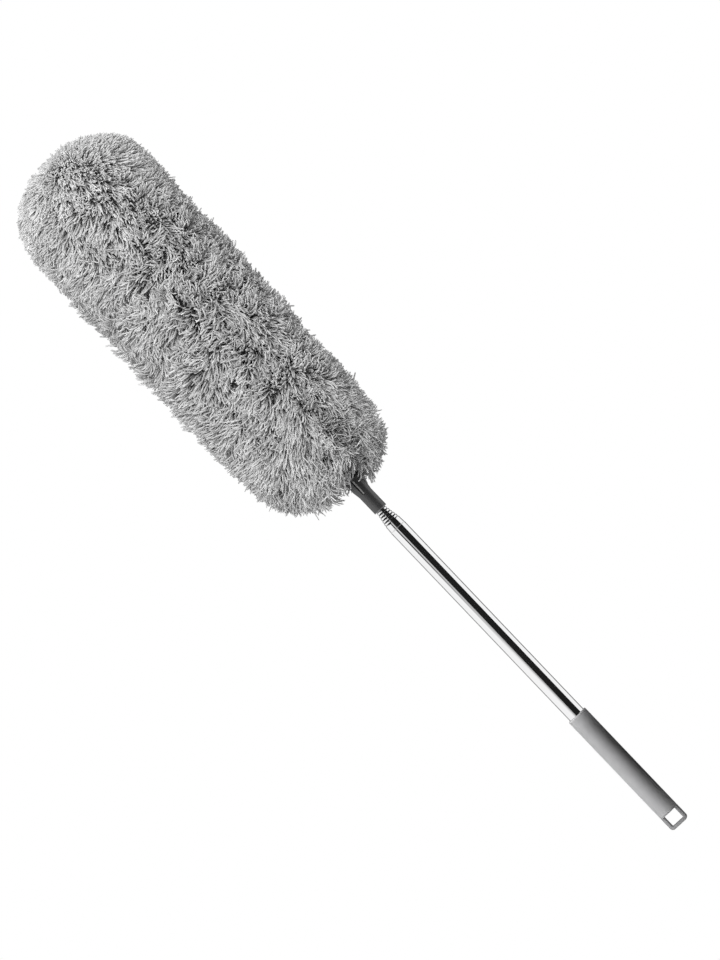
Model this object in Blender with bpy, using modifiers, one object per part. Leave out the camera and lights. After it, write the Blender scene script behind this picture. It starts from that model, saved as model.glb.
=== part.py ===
"""Extendable microfibre duster, hanging by its loop with the head down.

The origin is on the face of the loop that bears on a hook, and +Z points up.
Seven steel tubes nest in the grip, and the head screws on to the innermost.
A flat strip inside the head lets it bend, here at two places.
"""

import math
import random

import bmesh
import bpy
from mathutils import Vector

MM = 0.001

# Clearances
SEAT_GAP = 0.3 * MM  # between pieces that rest on each other
FIT_GAP = 0.1 * MM  # radial, between pieces that are pressed together
SLIDE_GAP = 0.05 * MM  # radial, between pieces that slide
SCREW_GAP = 0.2 * MM  # radial, between the head connector and what it covers
BORE_GAP = 0.35 * MM  # radial, between the fork and the sleeve's bore

# Outer tube
TUBE_RADIUS = 7.7 * MM
TUBE_WALL = 0.3 * MM
TUBE_SPRING_ROOM = 0.55 * MM  # radial room for the first friction spring
TUBE_EXPOSED = 222.1 * MM  # from the grip to the tube's mouth
TUBE_TAPER = 7.3 * MM

# Inner tubes
STAGE_COUNT = 6
STAGE_WALL = 0.25 * MM
SPRING_ROOM = 0.225 * MM
STAGE_TAPER = 2.0 * MM
MOUTH_STEP = 2.65 * MM  # how far each mouth stands out of the one before it
MOUTH_LIP = 0.15 * MM
FOOT_LIP = 0.8 * MM
FOOT_BEAD = 0.8 * MM
BEAD_GAP = 0.085 * MM  # radial, between a foot's bead and the bore round it
FOOT_SLOPE = 0.1 * MM  # height of the slopes at a foot's spring and bead
SPRING_LENGTH = 8.0 * MM
SPRING_PLAY = 0.1 * MM  # endways, between a spring and what holds it
SPRING_SLIT = 1.2 * MM
END_GAP = 1.3 * MM  # between the first foot and the end cap

# Grip and hanging loop
GRIP_WALL = 1.4 * MM
GRIP_LENGTH = 110.0 * MM
GRIP_EDGE = 1.0 * MM
CAP_FLANGE = 0.8 * MM
CAP_FLANGE_INSET = 0.2 * MM
CAP_BODY = 4.7 * MM
CAP_SPIGOT = 12.0 * MM
LOOP_WINDOW = 11.0 * MM
LOOP_END_BAR = 3.0 * MM
LOOP_SIDE_BAR = 2.9 * MM
LOOP_DEPTH = 5.6 * MM
LOOP_CORNER = 3.2 * MM
WINDOW_CORNER = 0.8 * MM
LOOP_EDGE = 0.5 * MM

# Screwed tip of the innermost tube
TIP_REACH = 4.4 * MM  # how far the innermost tube enters the connector
TIP_PLUG = 14.0 * MM
TIP_COLLAR = 1.6 * MM
STUD_RADIUS = 3.0 * MM
STUD_LENGTH = 8.0 * MM

# Head connector
CONNECTOR_WALL = 1.625 * MM
CONNECTOR_EDGE = 0.4 * MM
CONNECTOR_WEB = 3.9 * MM  # between the screw socket and the fork's slot
FLARE_RISE = 1.05 * MM
FLARE_LENGTH = 7.0 * MM
FORK_LENGTH = 24.0 * MM
FORK_EDGE = 0.8 * MM
RIVET_RADIUS = 1.5 * MM
RIVET_DROP = 11.0 * MM
RIVET_INSET = 0.3 * MM

# Bendable strip
STRIP_WIDTH = 10.0 * MM
STRIP_THICKNESS = 2.0 * MM
BEND_GAP = 1.5 * MM  # from a bend's axis to the strip on each side
STRIP_CAP_LENGTH = 12.0 * MM
STRIP_CAP_SLOT = 8.0 * MM
STRIP_CAP_GAP = 0.9 * MM
STRIP_CAP_EDGE = 2.5 * MM

# Sleeve that carries the pile
SLEEVE_DROP = 15.0 * MM  # from the fork's slot to the sleeve's hem
SLEEVE_WALL = 3.4 * MM
HEM_LENGTH = 4.5 * MM
HEM_INSET = 1.9 * MM
ELASTIC_RADIUS = 1.2 * MM
BASE_LENGTH = 85.4 * MM  # hem to the first bend
MIDDLE_LENGTH = 120.0 * MM  # first bend to the second
TIP_LENGTH = 97.0 * MM  # second bend to the middle of the round end
SECTION_GAP = 0.3 * MM
SLEEVE_END_WALL = 2.5 * MM

# Pile
PILE_TIP_RADIUS = 67.0 * MM
PILE_BASE_RADIUS = 64.0 * MM
PILE_ROUND_END = 65.0 * MM
PILE_SKIRT = 54.0 * MM
PILE_SKIRT_RISE = 7.5 * MM  # how far the skirt reaches up past the hem
PILE_POWER = 2.4  # squareness of both ends of the pile
PILE_LEAN = math.radians(64)  # lean of the first row towards the handle
PILE_LEAN_ROWS = 5
STRANDS_ROUND = 11
STRAND_PITCH = 11.9 * MM
ROUND_END_ROWS = 6
ROUND_END_ROOTS = math.radians(66)
ROUND_END_SWEEP = math.radians(84)
ROW_REACH = 0.4 * MM  # how near a face's middle is to the middle of its row
STALK_HALF = 1.5 * MM
STALK_TURN = math.radians(22.5)  # half way from the root's corners to the tuft's
STALK_END = 0.70  # shares of a strand's length
TUFT_START = 0.85
TUFT_FILL = 0.84  # share of its room that a tuft fills
TUFT_TIP_SHIFT = 4.5 * MM
TUFT_TIP_SPREAD = 0.06  # how unequal the strands' lengths are
PILE_SEED = 7

# Fineness of the shapes
SEGMENTS = 24
PILE_SEGMENTS = 2 * STRANDS_ROUND
ELASTIC_SEGMENTS = 8
CORNER_POINTS = 5
EDGE_POINTS = 3
WINDOW_POINTS = 2
HALVINGS = 30
WELD_REACH = 0.01 * MM
SHARP_ANGLE = math.radians(35)
BEVEL_ANGLE = math.radians(40)

PARTS = "Extendable duster"
CUTTERS = "Cutters"

# Heights along the pole, from the loop down
FLANGE_TOP = -LOOP_WINDOW
FLANGE_LOW = FLANGE_TOP - CAP_FLANGE
GRIP_TOP = FLANGE_LOW - SEAT_GAP
GRIP_LOW = GRIP_TOP - GRIP_LENGTH
TUBE_TOP = GRIP_TOP - CAP_BODY
SPIGOT_LOW = TUBE_TOP - CAP_SPIGOT
TUBE_MOUTH = GRIP_LOW - TUBE_EXPOSED

# Radii round the grip
GRIP_BORE = TUBE_RADIUS + FIT_GAP
GRIP_RADIUS = GRIP_BORE + GRIP_WALL
FLANGE_RADIUS = GRIP_RADIUS - CAP_FLANGE_INSET

# Travel of every stage, from its stops
FOOT_LENGTH = FOOT_LIP + SPRING_LENGTH + 2 * SPRING_PLAY + FOOT_BEAD + FOOT_SLOPE
TRAVEL = SPIGOT_LOW - END_GAP - FOOT_LENGTH - SEAT_GAP - TUBE_TAPER - TUBE_MOUTH


def tube_radius(stage):
    """Outer radius of a tube: 0 is the outer tube and STAGE_COUNT the innermost."""
    if stage == 0:
        return TUBE_RADIUS
    first = TUBE_RADIUS - TUBE_WALL - TUBE_SPRING_ROOM
    return first - (stage - 1) * (STAGE_WALL + SPRING_ROOM)


def tube_wall(stage):
    return TUBE_WALL if stage == 0 else STAGE_WALL


def tube_bore(stage):
    return tube_radius(stage) - tube_wall(stage)


def taper_length(stage):
    return TUBE_TAPER if stage == 0 else STAGE_TAPER


def mouth_height(stage):
    """Height of a tube's open end, which on the innermost is inside the connector."""
    if stage < STAGE_COUNT:
        return TUBE_MOUTH - stage * MOUTH_STEP
    return mouth_height(stage - 1) - SEAT_GAP - TIP_REACH


def foot_height(stage):
    """Height of an inner tube's upper end, set by its travel and its outer neighbour."""
    stop = mouth_height(stage - 1) + taper_length(stage - 1)
    return stop + SEAT_GAP + TRAVEL + FOOT_LENGTH


# Heights inside and along the connector
CONNECTOR_TOP = mouth_height(STAGE_COUNT - 1) - SEAT_GAP
COLLAR_TOP = mouth_height(STAGE_COUNT) - SEAT_GAP
COLLAR_LOW = COLLAR_TOP - TIP_COLLAR
STUD_LOW = COLLAR_LOW - STUD_LENGTH
SOCKET_END = STUD_LOW - SEAT_GAP
SLOT_TOP = SOCKET_END - CONNECTOR_WEB
FORK_END = SLOT_TOP - FORK_LENGTH
CONNECTOR_BORE = tube_radius(STAGE_COUNT) + SCREW_GAP
CONNECTOR_RADIUS = CONNECTOR_BORE + CONNECTOR_WALL
FORK_RADIUS = CONNECTOR_RADIUS + FLARE_RISE

# Heights and radii of the sleeve and its pile
SLEEVE_BORE = FORK_RADIUS + BORE_GAP
SLEEVE_RADIUS = SLEEVE_BORE + SLEEVE_WALL
HEM_RADIUS = SLEEVE_RADIUS - HEM_INSET
SLEEVE_TOP = SLOT_TOP - SLEEVE_DROP
FIRST_BEND = SLEEVE_TOP - BASE_LENGTH
SECOND_BEND = FIRST_BEND - MIDDLE_LENGTH
ROUND_END = SECOND_BEND - TIP_LENGTH
BORE_END = ROUND_END - SLEEVE_RADIUS + SLEEVE_END_WALL
PILE_START = SLEEVE_TOP - HEM_LENGTH
SKIRT_MIDDLE = SLEEVE_TOP + PILE_SKIRT_RISE - PILE_SKIRT


def clear_scene():
    for old in list(bpy.data.objects):
        bpy.data.objects.remove(old, do_unlink=True)


def make_collection(name):
    found = bpy.data.collections.new(name)
    bpy.context.scene.collection.children.link(found)
    return found


def make_material(name, colour, roughness, metallic=0.0):
    made = bpy.data.materials.new(name)
    made.use_nodes = True
    shader = made.node_tree.nodes["Principled BSDF"]
    shader.inputs["Base Color"].default_value = (*colour, 1.0)
    shader.inputs["Roughness"].default_value = roughness
    shader.inputs["Metallic"].default_value = metallic
    made.diffuse_color = (*colour, 1.0)
    return made


def add_object(name, mesh, material=None, collection=PARTS):
    made = bpy.data.objects.new(name, mesh)
    bpy.data.collections[collection].objects.link(made)
    if material:
        mesh.materials.append(material)
    return made


def turned(name, profile, material=None, closed=False, collection=PARTS, steps=SEGMENTS):
    """A turned piece. The profile runs down its outer side, as (radius, height)."""
    count = len(profile)
    edges = [(n, n + 1) for n in range(count - 1)]
    if closed:
        edges.append((count - 1, 0))
    mesh = bpy.data.meshes.new(name)
    mesh.from_pydata([(radius, 0.0, height) for radius, height in profile], edges, [])
    made = add_object(name, mesh, material, collection)
    screw = made.modifiers.new("Turn", "SCREW")
    screw.steps = steps
    screw.render_steps = steps
    screw.use_merge_vertices = True
    screw.merge_threshold = WELD_REACH
    return made


def applied(source, name, material=None):
    """A plain mesh object in the place of one that has modifiers or is a curve."""
    bpy.context.view_layer.update()
    seen = source.evaluated_get(bpy.context.evaluated_depsgraph_get())
    mesh = bpy.data.meshes.new_from_object(seen)
    mesh.materials.clear()
    place = source.matrix_world.copy()
    bpy.data.objects.remove(source, do_unlink=True)
    body = bmesh.new()
    body.from_mesh(mesh)
    bmesh.ops.remove_doubles(body, verts=body.verts, dist=WELD_REACH)
    bmesh.ops.recalc_face_normals(body, faces=body.faces)
    body.to_mesh(mesh)
    body.free()
    mesh.name = name
    made = add_object(name, mesh, material)
    made.matrix_world = place
    return made


def box(name, size, centre, material=None, collection=PARTS):
    mesh = bpy.data.meshes.new(name)
    body = bmesh.new()
    bmesh.ops.create_cube(body, size=1.0)
    bmesh.ops.scale(body, vec=Vector(size), verts=body.verts)
    body.to_mesh(mesh)
    body.free()
    made = add_object(name, mesh, material, collection)
    made.location = centre
    return made


def rod_along_x(name, radius, length, height, material=None, collection=PARTS):
    mesh = bpy.data.meshes.new(name)
    body = bmesh.new()
    bmesh.ops.create_cone(
        body, cap_ends=True, segments=SEGMENTS, radius1=radius, radius2=radius, depth=length
    )
    body.to_mesh(mesh)
    body.free()
    made = add_object(name, mesh, material, collection)
    made.rotation_euler = (0.0, math.pi / 2, 0.0)
    made.location = (0.0, 0.0, height)
    return made


def combine(target, tool, operation):
    """A Boolean of two objects. The tool stays as a hidden cutter."""
    tool.hide_render = True
    tool.display_type = "WIRE"
    step = target.modifiers.new(tool.name, "BOOLEAN")
    step.operation = operation
    step.object = tool


def shade_round(made):
    made.data.shade_smooth()
    made.data.set_sharp_from_angle(angle=SHARP_ANGLE)


def arc(centre, radius, start, end, points=CORNER_POINTS):
    """Points round part of a circle in a plane, both ends included."""
    for n in range(points + 1):
        turn = start + (end - start) * n / points
        yield centre[0] + radius * math.cos(turn), centre[1] + radius * math.sin(turn)


def filled_outline(name, outline, thickness):
    """A curve of one closed flat outline, as thick as asked."""
    curve = bpy.data.curves.new(name, "CURVE")
    curve.dimensions = "2D"
    curve.fill_mode = "BOTH"
    curve.extrude = thickness / 2
    spline = curve.splines.new("POLY")
    spline.points.add(len(outline) - 1)
    for point, (across, up) in zip(spline.points, outline):
        point.co = (across, up, 0.0, 1.0)
    spline.use_cyclic_u = True
    made = bpy.data.objects.new(name, curve)
    bpy.data.collections[PARTS].objects.link(made)
    return made


def loop_outline():
    """The hanging loop seen from the front, an arch with its feet inside the flange."""
    half, top, low = FLANGE_RADIUS, LOOP_END_BAR, FLANGE_TOP - (CAP_FLANGE + LOOP_EDGE) / 2
    corner, inner = LOOP_CORNER, WINDOW_CORNER
    window = half - LOOP_SIDE_BAR
    quarter = math.pi / 2
    points = [(half, low)]
    points += arc((half - corner, top - corner), corner, 0.0, quarter)
    points += arc((corner - half, top - corner), corner, quarter, 2 * quarter)
    points += [(-half, low), (-window, low)]
    points += arc((inner - window, -inner), inner, 2 * quarter, quarter, WINDOW_POINTS)
    points += arc((window - inner, -inner), inner, quarter, 0.0, WINDOW_POINTS)
    points += [(window, low)]
    return points


def end_cap(material):
    """Plug in the end of the tube, with its flange and the hanging loop."""
    sketch = filled_outline("loop_outline", loop_outline(), LOOP_DEPTH)
    sketch.rotation_euler = (math.pi / 2, 0.0, 0.0)
    loop = applied(sketch, "loop_shape")
    bevel = loop.modifiers.new("Edge", "BEVEL")
    bevel.width = LOOP_EDGE
    bevel.segments = 1
    bevel.angle_limit = BEVEL_ANGLE
    bpy.data.collections[PARTS].objects.unlink(loop)
    bpy.data.collections[CUTTERS].objects.link(loop)
    profile = [
        (0.0, FLANGE_TOP),
        (FLANGE_RADIUS, FLANGE_TOP),
        (FLANGE_RADIUS, FLANGE_LOW),
        (TUBE_RADIUS, FLANGE_LOW),
        (TUBE_RADIUS, TUBE_TOP + SEAT_GAP),
        (tube_bore(0) - FIT_GAP, TUBE_TOP + SEAT_GAP),
        (tube_bore(0) - FIT_GAP, SPIGOT_LOW),
        (0.0, SPIGOT_LOW),
    ]
    cap = turned("end_cap_loop", profile, material)
    combine(cap, loop, "UNION")
    return cap


def grip(material):
    """Moulded sleeve over the outer tube, rounded at both ends."""
    quarter = math.pi / 2
    rim = GRIP_RADIUS - GRIP_EDGE
    profile = list(arc((rim, GRIP_TOP - GRIP_EDGE), GRIP_EDGE, quarter, 0.0, EDGE_POINTS))
    profile += arc((rim, GRIP_LOW + GRIP_EDGE), GRIP_EDGE, 0.0, -quarter, EDGE_POINTS)
    profile += [(GRIP_BORE, GRIP_LOW), (GRIP_BORE, GRIP_TOP)]
    return turned("handle_grip", profile, material, closed=True)


def mouth_profile(stage):
    """Lower end of a tube, drawn in round the next one, and back up to its bore."""
    low = mouth_height(stage)
    taper = low + taper_length(stage)
    bore = tube_radius(stage + 1) + SLIDE_GAP
    outer = bore + tube_wall(stage)
    straight = low + min(MOUTH_STEP, taper_length(stage) / 2)
    return [
        (tube_radius(stage), taper),
        (outer, straight),
        (outer, low + MOUTH_LIP),
        (outer - MOUTH_LIP, low),
        (bore, low),
        (bore, straight),
        (tube_bore(stage), taper),
    ]


def outer_tube(material):
    profile = [(TUBE_RADIUS, TUBE_TOP)]
    profile += mouth_profile(0)
    profile += [(tube_bore(0), TUBE_TOP)]
    return turned("outer_tube", profile, material, closed=True)


def inner_tube(stage, material):
    """Tube with a lip and a bead at its foot, which hold its friction spring."""
    radius, foot = tube_radius(stage), foot_height(stage)
    raised = tube_bore(stage - 1) - BEAD_GAP
    seat = foot - FOOT_LIP
    bead = seat - SPRING_LENGTH - 2 * SPRING_PLAY
    profile = [
        (raised, foot),
        (raised, seat + FOOT_SLOPE),
        (radius, seat),
        (radius, bead),
        (raised, bead - FOOT_SLOPE),
        (raised, bead - FOOT_BEAD),
        (radius, bead - FOOT_BEAD - FOOT_SLOPE),
    ]
    if stage < STAGE_COUNT:
        profile += mouth_profile(stage)
    else:
        low = mouth_height(stage)
        profile += [(radius, low), (tube_bore(stage), low)]
    profile += [(tube_bore(stage), foot)]
    return turned(f"inner_tube_{stage}", profile, material, closed=True)


def friction_spring(stage, material):
    """Split steel sleeve between a tube's foot and the bore that it slides in."""
    inner = tube_radius(stage) + SLIDE_GAP
    outer = tube_bore(stage - 1) - SLIDE_GAP
    top = foot_height(stage) - FOOT_LIP - SPRING_PLAY
    low = top - SPRING_LENGTH
    profile = [(outer, top), (outer, low), (inner, low), (inner, top)]
    spring = turned(f"friction_spring_{stage}", profile, material, closed=True)
    slit = box(
        f"slit_{stage}",
        (2 * outer, SPRING_SLIT, 2 * SPRING_LENGTH),
        (outer, 0.0, (top + low) / 2),
        collection=CUTTERS,
    )
    combine(spring, slit, "DIFFERENCE")
    return spring


def tip_stud(material):
    """Plug in the innermost tube, with the stud that the head screws on to."""
    plug = tube_bore(STAGE_COUNT) - FIT_GAP
    collar = tube_radius(STAGE_COUNT)
    top = mouth_height(STAGE_COUNT) + TIP_PLUG
    profile = [
        (0.0, top),
        (plug, top),
        (plug, COLLAR_TOP),
        (collar, COLLAR_TOP),
        (collar, COLLAR_LOW),
        (STUD_RADIUS, COLLAR_LOW),
        (STUD_RADIUS, STUD_LOW + CONNECTOR_EDGE),
        (STUD_RADIUS - CONNECTOR_EDGE, STUD_LOW),
        (0.0, STUD_LOW),
    ]
    return turned("tip_stud", profile, material)


def connector(material):
    """Screwed socket of the head, ending in a fork that grips the strip."""
    thread = STUD_RADIUS + SCREW_GAP
    step = COLLAR_LOW - SEAT_GAP
    profile = [
        (0.0, SOCKET_END),
        (thread, SOCKET_END),
        (thread, step),
        (CONNECTOR_BORE, step),
        (CONNECTOR_BORE, CONNECTOR_TOP),
        (CONNECTOR_RADIUS - CONNECTOR_EDGE, CONNECTOR_TOP),
        (CONNECTOR_RADIUS, CONNECTOR_TOP - CONNECTOR_EDGE),
        (CONNECTOR_RADIUS, SLOT_TOP),
        (FORK_RADIUS, SLOT_TOP - FLARE_LENGTH),
        (FORK_RADIUS, FORK_END + FORK_EDGE),
        (FORK_RADIUS - FORK_EDGE, FORK_END),
        (0.0, FORK_END),
    ]
    made = turned("head_connector", profile, material)
    slot = box(
        "fork_slot",
        (STRIP_THICKNESS + 2 * SEAT_GAP, 4 * FORK_RADIUS, 2 * FORK_LENGTH),
        (0.0, 0.0, SLOT_TOP - FORK_LENGTH),
        collection=CUTTERS,
    )
    combine(made, slot, "DIFFERENCE")
    combine(made, rivet_hole("fork_hole"), "DIFFERENCE")
    return made


def rivet_hole(name):
    height = SLOT_TOP - RIVET_DROP
    return rod_along_x(name, RIVET_RADIUS + SEAT_GAP, 4 * FORK_RADIUS, height, None, CUTTERS)


def rivet(material):
    length = 2 * (FORK_RADIUS - RIVET_INSET)
    return rod_along_x("fork_rivet", RIVET_RADIUS, length, SLOT_TOP - RIVET_DROP, material)


def strip(name, top, low, material):
    """One stretch of the flat strip, from height to height."""
    size = (STRIP_THICKNESS, STRIP_WIDTH, top - low)
    return box(name, size, (0.0, 0.0, (top + low) / 2), material)


def strip_cap(material):
    """Blunt cap that keeps the strip's end from wearing through the sleeve."""
    radius = SLEEVE_BORE - STRIP_CAP_GAP
    low = BORE_END + SEAT_GAP
    top = low + STRIP_CAP_LENGTH
    edge = (radius - STRIP_CAP_EDGE, low + STRIP_CAP_EDGE)
    profile = [(0.0, top), (radius, top)]
    profile += arc(edge, STRIP_CAP_EDGE, 0.0, -math.pi / 2, EDGE_POINTS)
    profile += [(0.0, low)]
    made = turned("strip_cap", profile, material)
    slot = box(
        "cap_slot",
        (STRIP_THICKNESS + 2 * SEAT_GAP, STRIP_WIDTH + 2 * SEAT_GAP, 2 * STRIP_CAP_SLOT),
        (0.0, 0.0, top),
        collection=CUTTERS,
    )
    combine(made, slot, "DIFFERENCE")
    return made


def elastic_hem(material):
    """Elastic ring that holds the sleeve's hem on the fork."""
    bpy.ops.mesh.primitive_torus_add(
        location=(0.0, 0.0, SLEEVE_TOP - HEM_LENGTH / 2),
        major_segments=SEGMENTS,
        minor_segments=ELASTIC_SEGMENTS,
        major_radius=HEM_RADIUS + SEAT_GAP + ELASTIC_RADIUS,
        minor_radius=ELASTIC_RADIUS,
    )
    made = bpy.context.object
    made.name = "elastic_hem"
    made.data.materials.append(material)
    for holder in list(made.users_collection):
        holder.objects.unlink(made)
    bpy.data.collections[PARTS].objects.link(made)
    return made


def row_counts():
    """Rows of strands on each of the three straight stretches of the sleeve."""
    lengths = (PILE_START - FIRST_BEND, MIDDLE_LENGTH, TIP_LENGTH)
    return [max(1, round(length / STRAND_PITCH)) for length in lengths]


def row_height(row):
    """Height on the sleeve of a row, where a whole number is an edge between rows."""
    counts = row_counts()
    starts = (PILE_START, FIRST_BEND, SECOND_BEND, ROUND_END)
    for number, count in enumerate(counts):
        if row <= count or number == len(counts) - 1:
            return starts[number] + (starts[number + 1] - starts[number]) * row / count
        row -= count
    return ROUND_END


def root_and_way(row):
    """Where a strand of that row leaves the sleeve, and which way it points."""
    past = row - sum(row_counts())
    if past > 0:
        root = ROUND_END_ROOTS * past / ROUND_END_ROWS
        way = ROUND_END_SWEEP * past / ROUND_END_ROWS
        place = (SLEEVE_RADIUS * math.cos(root), ROUND_END - SLEEVE_RADIUS * math.sin(root))
        return place, (math.cos(way), -math.sin(way))
    lean = PILE_LEAN * max(0.0, 1.0 - row / PILE_LEAN_ROWS)
    return (SLEEVE_RADIUS, row_height(row)), (math.cos(lean), math.sin(lean))


def outside_pile(radius, height):
    """True past the pile's outer surface, which is round and blunt at both ends."""
    share = (height - ROUND_END) / (SKIRT_MIDDLE - ROUND_END)
    share = min(1.0, max(0.0, share))
    widest = PILE_TIP_RADIUS + (PILE_BASE_RADIUS - PILE_TIP_RADIUS) * share
    past = max((ROUND_END - height) / PILE_ROUND_END, (height - SKIRT_MIDDLE) / PILE_SKIRT, 0.0)
    return (abs(radius) / widest) ** PILE_POWER + past**PILE_POWER > 1.0


def strand_length(row):
    """Distance from a strand's root to the pile's outer surface, found by halving."""
    place, way = root_and_way(row)
    short, long = 0.0, 2 * PILE_TIP_RADIUS
    for _ in range(HALVINGS):
        middle = (short + long) / 2
        if outside_pile(place[0] + way[0] * middle, place[1] + way[1] * middle):
            long = middle
        else:
            short = middle
    return short


def strand_point(turn, row, share):
    """A point on the strand at that angle and row, at a share of its length."""
    place, way = root_and_way(row)
    reach = strand_length(row) * share
    radius = place[0] + way[0] * reach
    height = place[1] + way[1] * reach
    return Vector((radius * math.cos(turn), radius * math.sin(turn), height))


def grow_strand(body, face, turn, row, last, draw):
    """Grows one four-sided strand with a wide tuft and a point out of a face."""
    step = math.pi / STRANDS_ROUND
    rows = (min(row + 1.0, last), max(row - 1.0, 0.0))
    middle = strand_point(turn, row, TUFT_START)
    corners = [
        strand_point(turn + step, row, TUFT_START),
        strand_point(turn, rows[1], TUFT_START),
        strand_point(turn - step, row, TUFT_START),
        strand_point(turn, rows[0], TUFT_START),
    ]
    corners = [middle + (corner - middle) * TUFT_FILL for corner in corners]
    along = (corners[1] - corners[3]).normalized()
    across = (corners[0] - corners[2]).normalized()
    root = face.calc_center_median()
    order = []
    for vert in face.verts:
        side = (vert.co - root).dot(across)
        up = (vert.co - root).dot(along)
        order.append((0 if side > 0 else 1) if up > 0 else (2 if side < 0 else 3))
    stalk = strand_point(turn, row, STALK_END)
    quarter = math.pi / 2
    rings = []
    for number in order:
        angle = number * quarter + STALK_TURN
        offset = (across * math.cos(angle) + along * math.sin(angle)) * STALK_HALF
        rings.append((stalk + offset, corners[number]))
    for level in range(2):
        face = bmesh.ops.extrude_discrete_faces(body, faces=[face])["faces"][0]
        for vert, places in zip(face.verts, rings):
            vert.co = places[level]
    top = bmesh.ops.poke(body, faces=[face])["verts"][0]
    reach = 1.0 - TUFT_TIP_SPREAD * draw.random()
    shift = TUFT_TIP_SHIFT * (2 * draw.random() - 1)
    slide = TUFT_TIP_SHIFT * (2 * draw.random() - 1)
    top.co = strand_point(turn, row, reach) + (across * shift + along * slide) * reach


def pile(name, profile, first, count, closed, material):
    """A slice of the sleeve with its rows of strands, staggered row by row."""
    plain = turned(name + "_sleeve", profile, None, closed=closed, steps=PILE_SEGMENTS)
    made = applied(plain, name, material)
    body = bmesh.new()
    body.from_mesh(made.data)
    draw = random.Random(PILE_SEED + first)
    last = sum(row_counts()) + ROUND_END_ROWS
    step = math.pi / STRANDS_ROUND
    flat = math.cos(step / 2)
    rows = range(first, first + count)
    middles = {}
    for row in rows:
        upper, lower = root_and_way(row)[0], root_and_way(row + 1)[0]
        middles[row] = ((upper[0] + lower[0]) / 2 * flat, (upper[1] + lower[1]) / 2)
    chosen = []
    for face in body.faces:
        centre = face.calc_center_median()
        turn = math.atan2(centre.y, centre.x) % (2 * math.pi)
        column = int(turn / step)
        radius = math.hypot(centre.x, centre.y)
        for row, (away, height) in middles.items():
            near = math.hypot(radius - away, centre.z - height) < ROW_REACH
            if near and (row + column) % 2 == 0:
                chosen.append((row, column, face))
    for row, column, face in sorted(chosen, key=lambda found: found[:2]):
        grow_strand(body, face, (column + 0.5) * step, row + 0.5, last, draw)
    bmesh.ops.triangulate(body, faces=body.faces)
    body.to_mesh(made.data)
    body.free()
    print(name, "strands:", len(chosen))
    return made


def sleeve_rows(first, count):
    """Profile points at the edges of those rows, from the upper end down."""
    return [root_and_way(row)[0] for row in range(first, first + count + 1)]


def pile_sections(material):
    """The sleeve and its pile in three slices, split where the strip bends."""
    base, middle, tip = row_counts()
    half = SECTION_GAP / 2

    outline = [(HEM_RADIUS, SLEEVE_TOP), (HEM_RADIUS, PILE_START)]
    outline += sleeve_rows(0, base)
    outline[-1] = (SLEEVE_RADIUS, FIRST_BEND + half)
    outline += [(SLEEVE_BORE, FIRST_BEND + half), (SLEEVE_BORE, SLEEVE_TOP)]
    slices = [pile("pile_base", outline, 0, base, True, material)]

    outline = sleeve_rows(base, middle)
    outline[0] = (SLEEVE_RADIUS, FIRST_BEND - half)
    outline[-1] = (SLEEVE_RADIUS, SECOND_BEND + half)
    outline += [(SLEEVE_BORE, SECOND_BEND + half), (SLEEVE_BORE, FIRST_BEND - half)]
    slices.append(pile("pile_middle", outline, base, middle, True, material))

    upper = SECOND_BEND - half
    outline = [(0.0, BORE_END), (SLEEVE_BORE, BORE_END), (SLEEVE_BORE, upper)]
    rows = sleeve_rows(base + middle, tip + ROUND_END_ROWS)
    rows[0] = (SLEEVE_RADIUS, upper)
    outline += rows
    outline += [(0.0, rows[-1][1])]
    slices.append(pile("pile_tip", outline, base + middle, tip + ROUND_END_ROWS, False, material))
    return slices


def strips(material):
    """The flat strip in three stretches, riveted in the fork and capped at its end."""
    cap_slot_end = BORE_END + SEAT_GAP + STRIP_CAP_LENGTH - STRIP_CAP_SLOT
    base = strip("strip_base", SLOT_TOP - SEAT_GAP, FIRST_BEND + BEND_GAP, material)
    combine(base, rivet_hole("strip_hole"), "DIFFERENCE")
    middle = strip("strip_middle", FIRST_BEND - BEND_GAP, SECOND_BEND + BEND_GAP, material)
    tip = strip("strip_tip", SECOND_BEND - BEND_GAP, cap_slot_end + SEAT_GAP, material)
    return [base, middle, tip]


def hold(carrier, pieces):
    """Parents pieces to a carrier and leaves them where they are."""
    bpy.context.view_layer.update()
    for piece in pieces:
        piece.parent = carrier
        piece.matrix_parent_inverse = carrier.matrix_world.inverted()


def carrier(name, height, above, pieces):
    """An empty on a joint's axis, which carries the pieces that move there."""
    made = bpy.data.objects.new(name, None)
    made.empty_display_size = FORK_RADIUS
    made.location = (0.0, 0.0, height)
    bpy.data.collections[PARTS].objects.link(made)
    hold(made, pieces)
    if above:
        hold(above, [made])
    return made


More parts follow.
